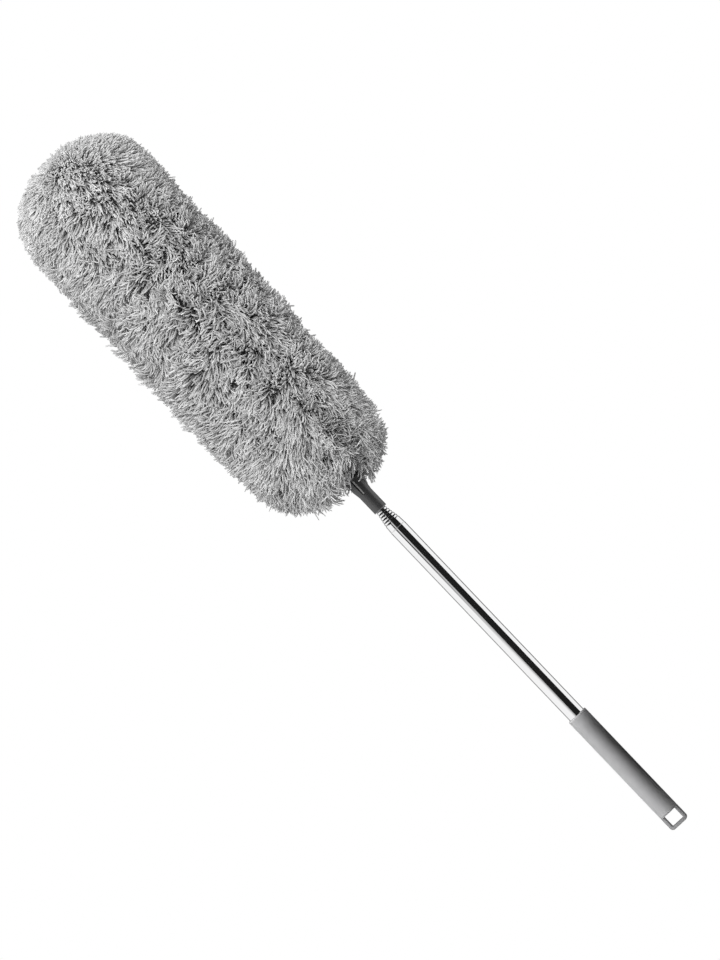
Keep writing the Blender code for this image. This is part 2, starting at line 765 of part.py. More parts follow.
def build():
    clear_scene()
    make_collection(PARTS)
    make_collection(CUTTERS)
    grey = make_material("soft_grey_plastic", (0.30, 0.30, 0.31), 0.55)
    dark = make_material("dark_plastic", (0.045, 0.045, 0.047), 0.4)
    chrome = make_material("polished_steel", (0.80, 0.80, 0.81), 0.08, 1.0)
    spring = make_material("spring_steel", (0.55, 0.55, 0.53), 0.3, 1.0)
    strip_steel = make_material("strip_steel", (0.60, 0.60, 0.60), 0.35, 1.0)
    rubber = make_material("elastic", (0.03, 0.03, 0.03), 0.8)
    microfibre = make_material("microfibre", (0.36, 0.36, 0.36), 0.9)

    rounds = [end_cap(grey), grip(grey), outer_tube(chrome)]
    stage_carrier = None
    for stage in range(1, STAGE_COUNT + 1):
        pieces = [inner_tube(stage, chrome), friction_spring(stage, spring)]
        if stage == STAGE_COUNT:
            pieces.append(tip_stud(spring))
        stage_carrier = carrier(f"stage_{stage}", mouth_height(stage - 1), stage_carrier, pieces)
        rounds += pieces

    fork = [connector(dark), rivet(strip_steel), elastic_hem(rubber)]
    blunt_end = strip_cap(dark)
    slices = pile_sections(microfibre)
    stretches = strips(strip_steel)
    head = carrier("head", CONNECTOR_TOP, stage_carrier, [*fork, stretches[0], slices[0]])
    middle = carrier("head_middle", FIRST_BEND, head, [stretches[1], slices[1]])
    carrier("head_tip", SECOND_BEND, middle, [stretches[2], slices[2], blunt_end])
    for made in [*rounds, *fork, blunt_end]:
        shade_round(made)

    print("travel of each stage, mm:", round(TRAVEL / MM, 2))
    print("bends at, mm:", round(FIRST_BEND / MM, 2), round(SECOND_BEND / MM, 2))
    print("closed length, mm:", round((LOOP_END_BAR - ROUND_END + PILE_ROUND_END) / MM, 1))


build()
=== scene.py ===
import math

import bmesh
import bpy
import numpy as np
from mathutils import Matrix, Vector, kdtree, noise


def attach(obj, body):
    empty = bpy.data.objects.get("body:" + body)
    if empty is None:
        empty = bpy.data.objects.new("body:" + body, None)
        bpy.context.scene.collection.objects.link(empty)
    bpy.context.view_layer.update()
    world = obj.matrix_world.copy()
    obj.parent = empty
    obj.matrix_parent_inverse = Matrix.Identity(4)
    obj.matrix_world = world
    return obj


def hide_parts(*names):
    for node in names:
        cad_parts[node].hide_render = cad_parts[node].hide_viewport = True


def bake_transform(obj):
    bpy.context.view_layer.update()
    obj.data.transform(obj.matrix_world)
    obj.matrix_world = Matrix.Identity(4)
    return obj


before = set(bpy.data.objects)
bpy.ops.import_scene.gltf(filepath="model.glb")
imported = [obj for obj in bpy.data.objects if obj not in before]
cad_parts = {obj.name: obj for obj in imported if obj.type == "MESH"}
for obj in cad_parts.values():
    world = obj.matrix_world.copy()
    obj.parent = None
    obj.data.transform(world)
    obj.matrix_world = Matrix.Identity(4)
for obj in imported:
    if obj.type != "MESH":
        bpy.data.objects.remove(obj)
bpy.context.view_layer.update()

# The pieces' sizes are in millimetres, and mm turns them into Blender's metres
mm = 0.001
bends = {
    "upper": {"at": -476.65, "bodies": ("head", "head_middle"), "parts": ("base", "middle")},
    "lower": {"at": -596.65, "bodies": ("head_middle", "head_tip"), "parts": ("middle", "tip")},
}
halfway = (bends["upper"]["at"] + bends["lower"]["at"]) / 2


# Shader nodes

def feed(tree, sockets, values):
    # A value is another node's socket, a number or a colour
    for key, value in values.items():
        if isinstance(value, bpy.types.NodeSocket):
            tree.links.new(value, sockets[key])
        elif sockets[key].type == "RGBA":
            sockets[key].default_value = (*value, 1.0)
        else:
            sockets[key].default_value = value


def addNode(tree, kind, inputs=None, **settings):
    node = tree.nodes.new(kind)
    for key, value in settings.items():
        setattr(node, key, value)
    feed(tree, node.inputs, inputs or {})
    return node


def blendColours(tree, share, first, second, mode="MIX"):
    return addNode(tree, "ShaderNodeMix", {0: share, 6: first, 7: second}, data_type="RGBA",
                   blend_type=mode).outputs[2]


def calc(tree, operation, *values):
    return addNode(tree, "ShaderNodeMath", dict(enumerate(values)), operation=operation).outputs[0]


def mapRange(tree, value, low, high, toLow=0.0, toHigh=1.0, kind="SMOOTHSTEP"):
    return addNode(tree, "ShaderNodeMapRange", {
        "Value": value, "From Min": low, "From Max": high, "To Min": toLow, "To Max": toHigh},
        interpolation_type=kind).outputs[0]


def noiseAt(tree, where, scale, detail, roughness=0.5, distortion=0.0):
    return addNode(tree, "ShaderNodeTexNoise", {
        "Vector": where, "Scale": scale, "Detail": detail, "Roughness": roughness,
        "Distortion": distortion}).outputs["Fac"]


def heightOf(tree, where):
    return addNode(tree, "ShaderNodeSeparateXYZ", {0: where}).outputs["Z"]


def attribute(tree, name, output="Fac"):
    return addNode(tree, "ShaderNodeAttribute", attribute_name=name).outputs[output]


def bandAt(tree, where, band, edge, strength):
    # A ring round the pole, full within half its height and gone at edge times that
    off = calc(tree, "SUBTRACT", heightOf(tree, where), band["height"] * mm)
    return mapRange(tree, calc(tree, "ABSOLUTE", off), band["half"] * mm,
                    band["half"] * mm * edge, strength, 0.0)


def newGroup(name, inputs, outputs):
    # No value makes a vector socket, three numbers a colour
    group = bpy.data.node_groups.new(name, "ShaderNodeTree")
    for socket, value in inputs.items():
        kind = "Vector" if value is None else "Color" if isinstance(value, tuple) else "Float"
        made = group.interface.new_socket(socket, in_out="INPUT",
                                          socket_type="NodeSocket" + kind)
        if value is not None:
            made.default_value = (*value, 1.0) if kind == "Color" else value
    for socket in outputs:
        kind = "Color" if socket == "Color" else "Float"
        group.interface.new_socket(socket, in_out="OUTPUT", socket_type="NodeSocket" + kind)
    return (group, group.nodes.new("NodeGroupInput").outputs,
            group.nodes.new("NodeGroupOutput").inputs)


# Fine moulded grain: even speckle for bumps, and slow mottling for tone
def makeMouldGrain():
    group, given, out = newGroup("mouldGrain", {"Place": None, "Grain Size": 0.4,
                                 "Mottle Size": 9.0}, ["Height", "Mottle"])
    fine = calc(group, "DIVIDE", 1000.0, given["Grain Size"])
    slow = calc(group, "DIVIDE", 1000.0, given["Mottle Size"])
    patches = noiseAt(group, given["Place"], slow, 4.0, roughness=0.6)
    feed(group, out, {"Height": noiseAt(group, given["Place"], fine, 2.0),
                      "Mottle": mapRange(group, patches, 0.3, 0.7)})
    return group


# Hairline lines left along a drawn tube or a rolled strip
def makeDrawnLines():
    group, given, out = newGroup("drawnLines", {"Place": None, "Line Width": 0.25,
                                 "Line Length": 60.0}, ["Height", "Mask"])
    across = calc(group, "DIVIDE", 1000.0, given["Line Width"])
    along = calc(group, "DIVIDE", 1000.0, given["Line Length"])
    stretch = addNode(group, "ShaderNodeCombineXYZ", {"X": across, "Y": across, "Z": along})
    where = addNode(group, "ShaderNodeVectorMath", {0: given["Place"], 1: stretch.outputs[0]},
                    operation="MULTIPLY").outputs[0]
    lines = noiseAt(group, where, 1.0, 3.0)
    feed(group, out, {"Height": lines, "Mask": mapRange(group, lines, 0.55, 0.75)})
    return group


# Smudges and faint rubs from hands
def makeHandMarks():
    group, given, out = newGroup("handMarks", {"Place": None, "Mark Size": 14.0, "Cover": 0.4},
                                 ["Mask"])
    scale = calc(group, "DIVIDE", 1000.0, given["Mark Size"])
    smudge = noiseAt(group, given["Place"], scale, 6.0, roughness=0.65, distortion=0.6)
    start = calc(group, "SUBTRACT", 0.75, given["Cover"])
    feed(group, out, {"Mask": mapRange(group, smudge, start, 0.75)})
    return group


# Microfibre: painted shade darkens the strands towards their roots, less on combed strands that
# lie flat, light at the ends, with each strand its own tone
def makeFibreTone():
    group, given, out = newGroup("fibreTone", {
        "Place": None, "Tone": 0.5, "Share": 0.5, "Comb": 0.0, "Painted Depth Shade": (0.03, 0.03, 0.03),
        "Light": (0.5, 0.5, 0.5)}, ["Color", "Fuzz"])
    lift = calc(group, "MULTIPLY_ADD", given["Comb"], 0.35, given["Share"])
    body = blendColours(group, mapRange(group, lift, 0.25, 0.94), given["Painted Depth Shade"], given["Light"])
    patch = mapRange(group, noiseAt(group, given["Place"], 60.0, 3.0), 0.3, 0.7, 0.88, 1.08)
    tone = calc(group, "MULTIPLY_ADD", given["Tone"], 0.5, 0.72)
    whole = calc(group, "MULTIPLY", tone, patch)
    feed(group, out, {"Color": blendColours(group, 1.0, body, whole, "MULTIPLY"),
                      "Fuzz": noiseAt(group, given["Place"], 2600.0, 1.0)})
    return group


groups = {"grain": makeMouldGrain(), "lines": makeDrawnLines(), "marks": makeHandMarks(),
          "fibre": makeFibreTone()}
print("node groups:", len(groups))


# Materials

def newMaterial(name, **sockets):
    made = bpy.data.materials.new(name)
    made.use_nodes = True
    shader = made.node_tree.nodes["Principled BSDF"].inputs
    feed(made.node_tree, shader, {key.replace("_", " "): value for key, value in sockets.items()})
    return made, made.node_tree, shader


def place(tree, bending=False):
    if bending:
        return attribute(tree, "restPlace", "Vector")
    return addNode(tree, "ShaderNodeTexCoord").outputs["Object"]


def useGroup(tree, key, inputs):
    return addNode(tree, "ShaderNodeGroup", inputs, node_tree=groups[key]).outputs


def bumpOf(tree, height, strength, distance):
    return addNode(tree, "ShaderNodeBump", {"Height": height, "Strength": strength,
                   "Distance": distance * mm}).outputs["Normal"]


def shade(colour, gain):
    return [min(1, part * gain) for part in colour]


# The pale rim is a painted highlight, a lighter band along an end's edge
def makeMouldedPlastic(name, colour, roughness, grainSize, bump, rub, paintedHighlightRim, specular=0.3):
    made, tree, shader = newMaterial(name, Specular_IOR_Level=specular)
    where = place(tree)
    grain = useGroup(tree, "grain", {"Place": where, "Grain Size": grainSize})
    marks = useGroup(tree, "marks", {"Place": where, "Mark Size": 16.0, "Cover": 0.3})["Mask"]
    tone = blendColours(tree, grain["Mottle"], shade(colour, 0.96), shade(colour, 1.03))
    worn = blendColours(tree, calc(tree, "MULTIPLY", marks, rub), tone, shade(colour, 1.35))
    # Painted highlight along the end's edge
    highlightRim = bandAt(tree, where, paintedHighlightRim, 1.4, 1.0)
    feed(tree, shader, {
        "Base Color": blendColours(tree, highlightRim, worn, shade(colour, paintedHighlightRim["gain"])),
        "Roughness": mapRange(tree, marks, 0.0, 1.0, roughness, roughness - 0.08),
        "Normal": bumpOf(tree, grain["Height"], bump, 0.05)})
    return made


def makeSteel(name, colour, roughness, lineWidth, lineLength, bump, bending=False,
              matteLine=None):
    made, tree, shader = newMaterial(name, Metallic=1.0)
    where = place(tree, bending)
    lines = useGroup(tree, "lines", {"Place": where, "Line Width": lineWidth,
                                     "Line Length": lineLength})
    marks = useGroup(tree, "marks", {"Place": where, "Mark Size": 22.0, "Cover": 0.3})["Mask"]
    tone = blendColours(tree, lines["Mask"], colour, shade(colour, 0.93))
    rough = mapRange(tree, marks, 0.0, 1.0, roughness, roughness * 1.35)
    if matteLine:
        rough = calc(tree, "MAXIMUM", rough, bandAt(tree, where, matteLine, 1.3, 0.5))
    # Where the grime-and-shade mark is set the steel is painted near black: painted shade in the
    # gaps, with some grime
    feed(tree, shader, {
        "Base Color": blendColours(tree, attribute(tree, "grimeAndShade"), tone, (0.02, 0.02, 0.02)),
        "Roughness": rough, "Normal": bumpOf(tree, lines["Height"], bump, 0.02)})
    return made


# deep is the painted shade colour at the strands' roots
def makeMicrofibre(name, deep, light):
    made, tree, shader = newMaterial(name, Roughness=0.8, Specular_IOR_Level=0.2)
    fibre = useGroup(tree, "fibre", {
        "Place": place(tree, True), "Painted Depth Shade": deep, "Light": light,
        **{key: attribute(tree, key.lower()) for key in ("Tone", "Share", "Comb")}})
    feed(tree, shader, {"Base Color": fibre["Color"],
                        "Normal": bumpOf(tree, fibre["Fuzz"], 0.3, 0.1)})
    return made


# Knitted cloth of the sleeve and the ground that the strands stand in
def makeKnit(name, colour, stitch):
    made, tree, shader = newMaterial(name, Roughness=0.95, Specular_IOR_Level=0.1)
    where = place(tree, True)
    rows, slant = [addNode(tree, "ShaderNodeTexWave", {
        "Vector": where, "Scale": scale, "Distortion": 1.5, "Detail": 2.0},
        bands_direction=way).outputs["Fac"]
        for way, scale in (("Z", 1 / stitch), ("DIAGONAL", 0.6 / stitch))]
    height = calc(tree, "MULTIPLY", rows, slant)
    tone = calc(tree, "MULTIPLY_ADD", noiseAt(tree, where, 180.0, 4.0), 0.5,
                calc(tree, "MULTIPLY", height, 0.5))
    feed(tree, shader, {
        "Base Color": blendColours(tree, tone, shade(colour, 0.55), shade(colour, 1.45)),
        "Normal": bumpOf(tree, height, 0.7, 0.4)})
    return made


# The last entry of each plastic is its painted highlight rim along an end's edge
finish = {
    "grip": makeMouldedPlastic("softGreyPlastic", (0.465, 0.465, 0.47), 0.62, 0.35, 0.35, 0.1,
                               {"height": -121.8, "half": 0.7, "gain": 1.4}, specular=0.15),
    "cap": makeMouldedPlastic("capPlastic", (0.3, 0.3, 0.305), 0.5, 0.5, 0.06, 0.08,
                              {"height": -11.4, "half": 0.6, "gain": 1.3}),
    "dark": makeMouldedPlastic("darkSatinPlastic", (0.04, 0.04, 0.041), 0.32, 0.3, 0.15, 0.05,
                               {"height": -357.9, "half": 0.5, "gain": 3.4}, specular=0.85),
    "chrome": makeSteel("polishedSteel", (0.9, 0.9, 0.905), 0.05, 0.5, 80.0, 0.06),
    "neck": makeSteel("polishedNeckedSteel", (0.9, 0.9, 0.905), 0.05, 0.5, 80.0, 0.06,
                      matteLine={"height": -337.3, "half": 0.35}),
    "spring": makeSteel("springSteel", (0.55, 0.55, 0.53), 0.3, 0.2, 8.0, 0.3),
    "stud": makeSteel("studSteel", (0.6, 0.6, 0.6), 0.25, 0.2, 4.0, 0.2),
    "strip": makeSteel("stripSteel", (0.66, 0.66, 0.65), 0.34, 0.15, 30.0, 0.3, bending=True),
    "fur": makeMicrofibre("microfibreStrands", (0.2, 0.2, 0.2), (0.75, 0.75, 0.75)),
    # The pile's ground is painted dark as the shade deep in the pile
    "shadedGround": makeKnit("pileGround", (0.11, 0.11, 0.11), 0.9),
    "knit": makeKnit("sleeveKnit", (0.09, 0.09, 0.09), 1.1),
    "elastic": makeKnit("elasticBand", (0.03, 0.03, 0.03), 0.6),
}
print("materials:", len(finish))


# Mesh helpers

def newObject(name, data):
    made = bpy.data.objects.new(name, data)
    bpy.context.scene.collection.objects.link(made)
    return made


def addPiece(name, mesh, material, body, nodes):
    made = newObject(name, mesh)
    mesh.materials.clear()
    mesh.materials.append(finish[material])
    if body:
        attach(made, body)
    if nodes:
        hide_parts(*nodes)
    return made


def keepRestPlace(mesh):
    spots = np.zeros(len(mesh.vertices) * 3, np.float32)
    mesh.vertices.foreach_get("co", spots)
    mesh.attributes.new("restPlace", "FLOAT_VECTOR", "POINT").data.foreach_set("vector", spots)


# The piece keeps its rest place and hides the carrier's nodes beside the bend nearest to it
def addBendingPiece(name, mesh, material, half, carrier="pile"):
    keepRestPlace(mesh)
    bend = bends[half]
    nodes = [f"{carrier}_{part}" for part in bend["parts"] if carrier]
    made = addPiece(name, mesh, material, None, nodes)
    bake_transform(made)


def repaint(node, material):
    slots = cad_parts[node].data.materials
    slots.clear()
    slots.append(finish[material])


def smoothOver(mesh, sharp):
    # Edges that turn by more than this many degrees stay sharp
    mesh.shade_smooth()
    if sharp:
        mesh.set_sharp_from_angle(angle=math.radians(sharp))


def skin(name, rings, closed=False, capped=False, sharp=None):
    # Quads from ring to ring; a ring of one point closes an end on the axis
    form = bmesh.new()
    rings = [[form.verts.new(spot) for spot in ring] for ring in rings]
    steps = max(len(ring) for ring in rings)
    for here, after in list(zip(rings, rings[1:])) + ([(rings[-1], rings[0])] if closed else []):
        for k in range(steps):
            corners = [here[k % len(here)], here[(k + 1) % len(here)],
                       after[(k + 1) % len(after)], after[k % len(after)]]
            face = list(dict.fromkeys(corners))
            if len(face) > 2:
                form.faces.new(face)
    if capped:
        form.faces.new(rings[0])
        form.faces.new(rings[-1])
    bmesh.ops.recalc_face_normals(form, faces=form.faces)
    mesh = bpy.data.meshes.new(name)
    form.to_mesh(mesh)
    form.free()
    smoothOver(mesh, sharp)
    return mesh


def joinInto(mesh, other, sharp):
    form = bmesh.new()
    form.from_mesh(mesh)
    form.from_mesh(other)
    form.to_mesh(mesh)
    form.free()
    smoothOver(mesh, sharp)
    return mesh


def roundPole(radius, height, turn):
    return radius * math.cos(turn), radius * math.sin(turn), height


def fullTurn(steps):
    return [2 * math.pi * k / steps for k in range(steps)]


def roundOutline(corners, closed):
    # Each corner is (radius, height, rounding); rounded corners become short curves
    points = []
    for n, (radius, height, rounding) in enumerate(corners):
        here = Vector((radius, height))
        if not rounding or (not closed and n in (0, len(corners) - 1)):
            points.append(here)
            continue
        back = Vector(corners[n - 1][:2]) - here
        ahead = Vector(corners[(n + 1) % len(corners)][:2]) - here
        longest = 0.48 * min(back.length, ahead.length)
        cut = min(rounding / math.tan(back.angle(ahead) / 2), longest)
        start, end = here + back.normalized() * cut, here + ahead.normalized() * cut
        for t in (0, 0.25, 0.5, 0.75, 1):
            points.append(start * (1 - t) ** 2 + here * 2 * t * (1 - t) + end * t * t)
    return points


def turned(name, corners, closed=True, steps=96):
    corners = [(r * mm, z * mm, rounding * mm) for r, z, rounding in corners]
    rings = [[roundPole(spot.x, spot.y, turn) for turn in fullTurn(steps)] if spot.x > 1e-7
             else [(0, 0, spot.y)] for spot in roundOutline(corners, closed)]
    return skin(name, rings, closed, sharp=32)


def layAcross(mesh, height):
    # Turns a mesh made round the pole to lie along X at a height
    mesh.transform(Matrix.Translation((0, 0, height * mm)) @ Matrix.Rotation(math.pi / 2, 4, "Y"))
    return mesh


# Camera, as the photograph sees the duster

camera = {"turn": math.radians(-12), "poleSlope": math.radians(46.36), "lens": 200.0,
          "sensor": 36, "frameHeight": 796.8 * mm, "aimHeight": -387.3 * mm,
          "aimAside": 4.39 * mm, "farthest": 200}


def makeCamera(look):
    turn, slope = look["turn"], look["poleSlope"]
    aside = Vector((math.cos(turn), math.sin(turn), 0))
    ahead = Vector((-math.sin(turn), math.cos(turn), 0))
    up = Vector((0, 0, 1))
    right = -math.sin(slope) * aside + math.cos(slope) * up
    above = -math.cos(slope) * aside - math.sin(slope) * up
    data = bpy.data.cameras.new("photoCamera")
    data.lens, data.sensor_width, data.clip_end = look["lens"], look["sensor"], look["farthest"]
    distance = look["frameHeight"] * look["lens"] / look["sensor"]
    spot = up * look["aimHeight"] - aside * look["aimAside"] - ahead * distance
    made = newObject("photoCamera", data)
    facing = Matrix((right, above, -ahead)).transposed().to_4x4()
    made.matrix_world = Matrix.Translation(spot) @ facing
    bpy.context.scene.camera = made
    return aside, ahead


towardsLowerLeft, lookAhead = makeCamera(camera)
print("camera made")


# World, lamps, floor and the dark and pale cards that the steel mirrors

studio = {"ambientLit": 1.2, "ambientDark": 0.1, "ambientBehind": 0.7, "ceiling": (0.46, 0.56),
          "keyStrength": 2.0, "keyAngle": 34, "topStrength": 0.15, "topAngle": 60,
          "floorHeight": -2.65, "floorSize": 30.0, "floorGlow": 0.82, "cardRadius": 2.0,
          "cardLow": -3.4, "cardHigh": 1.9, "cardFade": -0.31}
# Each card's start and end round the pole, and its glow below and at the loop
cards = {"darkCard": (-66.2, 11.5, 0.013, 0.013), "lineCard": (27, 42.5, 0.05, 0.9),
         "leftBackCard": (128, 170, 0.32, 0.32), "rightBackCard": (-178, -128, 0.2, 0.2),
         "paleCard": (11.5, 27, 0.6, 0.5)}
flag = {"start": -155, "end": 14, "radius": 60 * mm, "low": -150 * mm, "high": -1 * mm}
gripLamp = {"energy": 3.5, "size": 0.14, "cone": 44, "turn": math.radians(56), "distance": 0.45,
            "height": -0.06}


def towards(leftward, forward, upward):
    # Directions as the camera sees them
    way = towardsLowerLeft * leftward - lookAhead * forward + Vector((0, 0, upward))
    return way.normalized()


def emptyTree(owner):
    owner.use_nodes = True
    owner.node_tree.nodes.clear()
    return owner.node_tree


def makeWorld():
    bpy.context.scene.world = bpy.data.worlds.new("whiteStudio")
    tree = emptyTree(bpy.context.scene.world)
    rays = tree.nodes.new("ShaderNodeLightPath").outputs
    # Steep reflections meet the dark ceiling and floor of the studio
    way = addNode(tree, "ShaderNodeTexCoord").outputs["Generated"]
    steep = calc(tree, "ABSOLUTE", heightOf(tree, way))
    glossy = calc(tree, "MULTIPLY", rays["Is Glossy Ray"],
                  mapRange(tree, steep, *studio["ceiling"], 1.0, 0.03))
    seen = calc(tree, "MAXIMUM", rays["Is Camera Ray"], rays["Is Transmission Ray"])
    # Soft light comes from the front and the lower left, less from behind, least from the sides
    facing = addNode(tree, "ShaderNodeVectorMath", {0: way, 1: towards(0.1, 0.95, -0.3)},
                     operation="DOT_PRODUCT").outputs["Value"]
    front = mapRange(tree, facing, 0.1, 1.0, studio["ambientDark"], studio["ambientLit"])
    behind = mapRange(tree, facing, -1.0, -0.3, studio["ambientBehind"], 0.0)
    ambient, white = [addNode(tree, "ShaderNodeBackground", {
        "Color": (1, 1, 1), "Strength": strength}).outputs[0]
        for strength in (calc(tree, "ADD", front, behind), calc(tree, "MAXIMUM", seen, glossy))]
    share = calc(tree, "MAXIMUM", seen, rays["Is Glossy Ray"])
    mix = addNode(tree, "ShaderNodeMixShader", {0: share, 1: ambient, 2: white}).outputs[0]
    addNode(tree, "ShaderNodeOutputWorld", {"Surface": mix})


def hide(made, *kinds):
    for kind in kinds:
        setattr(made, "visible_" + kind, False)


def makeLamp(name, kind, way, **settings):
    data = bpy.data.lights.new(name, kind)
    for key, value in settings.items():
        setattr(data, key, value)
    made = newObject(name, data)
    made.rotation_mode = "QUATERNION"
    made.rotation_quaternion = way.to_track_quat("Z", "Y")
    hide(made, "glossy")
    return made


def makeGripLamp(lamp):
    # A soft lamp close to the grip, too narrow to reach the head
    way = towards(math.sin(lamp["turn"]), math.cos(lamp["turn"]), 0)
    made = makeLamp("gripLamp", "SPOT", way, energy=lamp["energy"], spot_blend=0.5,
                    shadow_soft_size=lamp["size"], spot_size=math.radians(lamp["cone"]))
    made.location = way * lamp["distance"] + Vector((0, 0, lamp["height"]))


def addStage(name, mesh, material, *hiddenFrom):
    made = newObject(name, mesh)
    mesh.materials.append(material)
    hide(made, *hiddenFrom)


def mattePaint(name, grey):
    return newMaterial(name, Base_Color=(grey,) * 3, Roughness=1.0, Specular_IOR_Level=0.0)


def makeFloor():
    size, height = studio["floorSize"] / 2, studio["floorHeight"]
    mesh = bpy.data.meshes.new("paleFloor")
    corners = ((-size, -size), (size, -size), (size, size), (-size, size))
    mesh.from_pydata([(*corner, height) for corner in corners], [], [(0, 1, 2, 3)])
    material, tree, shader = mattePaint("paleFloorPaint", 0.8)
    rays = tree.nodes.new("ShaderNodeLightPath").outputs
    glow = calc(tree, "MULTIPLY", rays["Is Camera Ray"], studio["floorGlow"])
    feed(tree, shader, {"Emission Color": (1, 1, 1), "Emission Strength": glow})
    addStage("paleFloor", mesh, material, "shadow", "glossy")


def curvedSheet(name, start, end, radius, low, high):
    # Angles go round the pole from the camera's side, positive towards the photo's lower left
    mesh = bpy.data.meshes.new(name)
    steps = max(2, round(abs(end - start) / 6))
    spots = []
    for k in range(steps + 1):
        turn = math.radians(start + (end - start) * k / steps)
        way = towards(math.sin(turn), math.cos(turn), 0)
        spots += [way * radius + Vector((0, 0, z)) for z in (low, high)]
    mesh.from_pydata(spots, [], [(2 * k, 2 * k + 2, 2 * k + 3, 2 * k + 1) for k in range(steps)])
    return mesh


def makeCard(name, start, end, low, high):
    mesh = curvedSheet(name, start, end, studio["cardRadius"], studio["cardLow"],
                       studio["cardHigh"])
    material = bpy.data.materials.new(name)
    tree = emptyTree(material)
    height = heightOf(tree, addNode(tree, "ShaderNodeNewGeometry").outputs["Position"])
    strength = mapRange(tree, height, studio["cardFade"], 0.0, low, high, "LINEAR")
    glow = addNode(tree, "ShaderNodeEmission", {"Strength": strength}).outputs[0]
    addNode(tree, "ShaderNodeOutputMaterial", {"Surface": glow})
    addStage(name, mesh, material, "camera", "diffuse", "transmission", "volume_scatter", "shadow")


def makeFlag(flag):
    # A black flag keeps stray light off the dark side of the grip
    mesh = curvedSheet("gripFlag", **flag)
    addStage("gripFlag", mesh, mattePaint("blackFlag", 0.04)[0], "camera", "glossy")


makeWorld()
makeLamp("keyLamp", "SUN", towards(0.18, 0.85, -0.48), energy=studio["keyStrength"],
         angle=math.radians(studio["keyAngle"]))
makeLamp("topLamp", "SUN", Vector((0.1, -0.2, 1)), energy=studio["topStrength"],
         angle=math.radians(studio["topAngle"]))
makeFloor()
for name, card in cards.items():
    makeCard(name, *card)
makeFlag(flag)
makeGripLamp(gripLamp)
print("studio made")


# Pole: outer tube and the six that nest in it

pole = {
    "radius": 7.7, "wall": 0.3, "top": -16.8, "mouth": -344.2, "taperStart": -336.9,
    "crease": -337.0, "creaseDeep": 0.12, "creaseHigh": 0.6, "lip": 0.22,
    "straightStart": -341.55, "mouthRadius": 7.2, "steps": 128,
    "stageRadius": (6.85, 6.375, 5.9, 5.425, 4.95, 4.475), "stageWall": 0.25,
    "foot": (-30.1, -38.05, -40.7, -43.35, -46.0, -48.65), "footSlack": 0.085,
    "stageMouth": (-346.85, -349.5, -352.15, -354.8, -357.45, -362.15),
    "stageMouthRadius": (6.675, 6.2, 5.725, 5.25, 4.775),
    "footLip": 0.8, "springRoom": 8.2, "footBead": 0.8,
    "beadMiddle": 1.28, "beadHalf": 1.2, "beadRise": 0.45, "beadProud": 0.24, "grimeAndShadeReach": 0.6,
    "neckLow": 2.5, "neckOutside": 2.64, "neckInside": 2.68, "neckClean": 3.2,
}


def makeOuterTube(pole):
    radius, mouthRadius, mouth = pole["radius"], pole["mouthRadius"], pole["mouth"]
    bore, mouthBore = radius - pole["wall"], mouthRadius - pole["wall"]
    corners = [
        (radius, pole["top"], 0.12), (radius, pole["crease"], 0.06),
        (radius - pole["creaseDeep"], pole["crease"] - pole["creaseHigh"], 0.1),
        (mouthRadius + 0.1, pole["straightStart"], 1.5), (mouthRadius + 0.1, mouth + 0.9, 0.8),
        (mouthRadius - pole["lip"], mouth, 0.05), (mouthBore, mouth, 0.02),
        (mouthBore, pole["straightStart"], 2.0), (bore, pole["taperStart"], 1.0),
        (bore, pole["top"], 0.1),
    ]
    mesh = turned("outerTube", corners, steps=pole["steps"])
    addPiece("outerTube", mesh, "neck", "handle", ["outer_tube"])


def beadOutline(pole, mouth, radius):
    # A rounded bead stands out of the larger tube's mouth
    half, rise, proud = pole["beadHalf"], pole["beadRise"], radius + pole["beadProud"]
    swing = (half ** 2 + rise ** 2) / (2 * rise)
    for k in range(9):
        off = half * (1 - k / 4)
        drop = swing - math.sqrt(swing ** 2 - off ** 2)
        yield proud - drop, mouth + pole["beadMiddle"] + off, 0


def makeInnerTube(pole, stage):
    radius, foot = pole["stageRadius"][stage - 1], pole["foot"][stage - 1]
    bore, mouth = radius - pole["stageWall"], pole["stageMouth"][stage - 1]
    outerBore = pole["radius"] - pole["wall"]
    if stage > 1:
        outerBore = pole["stageRadius"][stage - 2] - pole["stageWall"]
    raised, seat = outerBore - pole["footSlack"], foot - pole["footLip"]
    bead = seat - pole["springRoom"]
    low = bead - pole["footBead"]
    corners = [
        (raised, foot, 0.15), (raised, seat + 0.1, 0.05), (radius, seat, 0), (radius, bead, 0),
        (raised, bead - 0.1, 0.1), (raised, low, 0.1), (radius, low - 0.1, 0),
    ]
    if stage < 6:
        mouthRadius = pole["stageMouthRadius"][stage - 1]
        mouthBore = mouthRadius - pole["stageWall"]
        groove = mouthRadius + pole["beadProud"] - pole["beadRise"]
        neckLow, neckClean = mouth + pole["neckLow"], mouth + pole["neckClean"]
        corners += [
            (radius, neckClean, 0), (radius, mouth + pole["neckOutside"], 0), (groove, neckLow, 0),
            *beadOutline(pole, mouth, mouthRadius), (groove, mouth, 0), (mouthBore, mouth, 0),
            (mouthBore, neckLow, 0), (bore, mouth + pole["neckInside"], 0), (bore, neckClean, 0),
        ]
    else:
        corners += [(radius, mouth, 0.1), (bore, mouth, 0.06)]
    name = f"innerTube{stage}"
    mesh = turned(name, corners + [(bore, foot, 0.06)])
    # Painted shade, with some grime, darkens the gaps on both sides of the bead
    grimeAndShade = mesh.attributes.new("grimeAndShade", "FLOAT", "POINT")
    for point, mark in zip(mesh.vertices, grimeAndShade.data):
        off = abs(point.co.z / mm - mouth - pole["beadMiddle"]) - pole["beadHalf"]
        mark.value = 1.0 if stage < 6 and -0.05 < off < pole["grimeAndShadeReach"] else 0.0
    addPiece(name, mesh, "chrome", f"stage_{stage}", [f"inner_tube_{stage}"])


makeOuterTube(pole)
for stage in range(1, 7):
    makeInnerTube(pole, stage)
    repaint(f"friction_spring_{stage}", "spring")
print("pole made")


# Tip stud with its screw thread

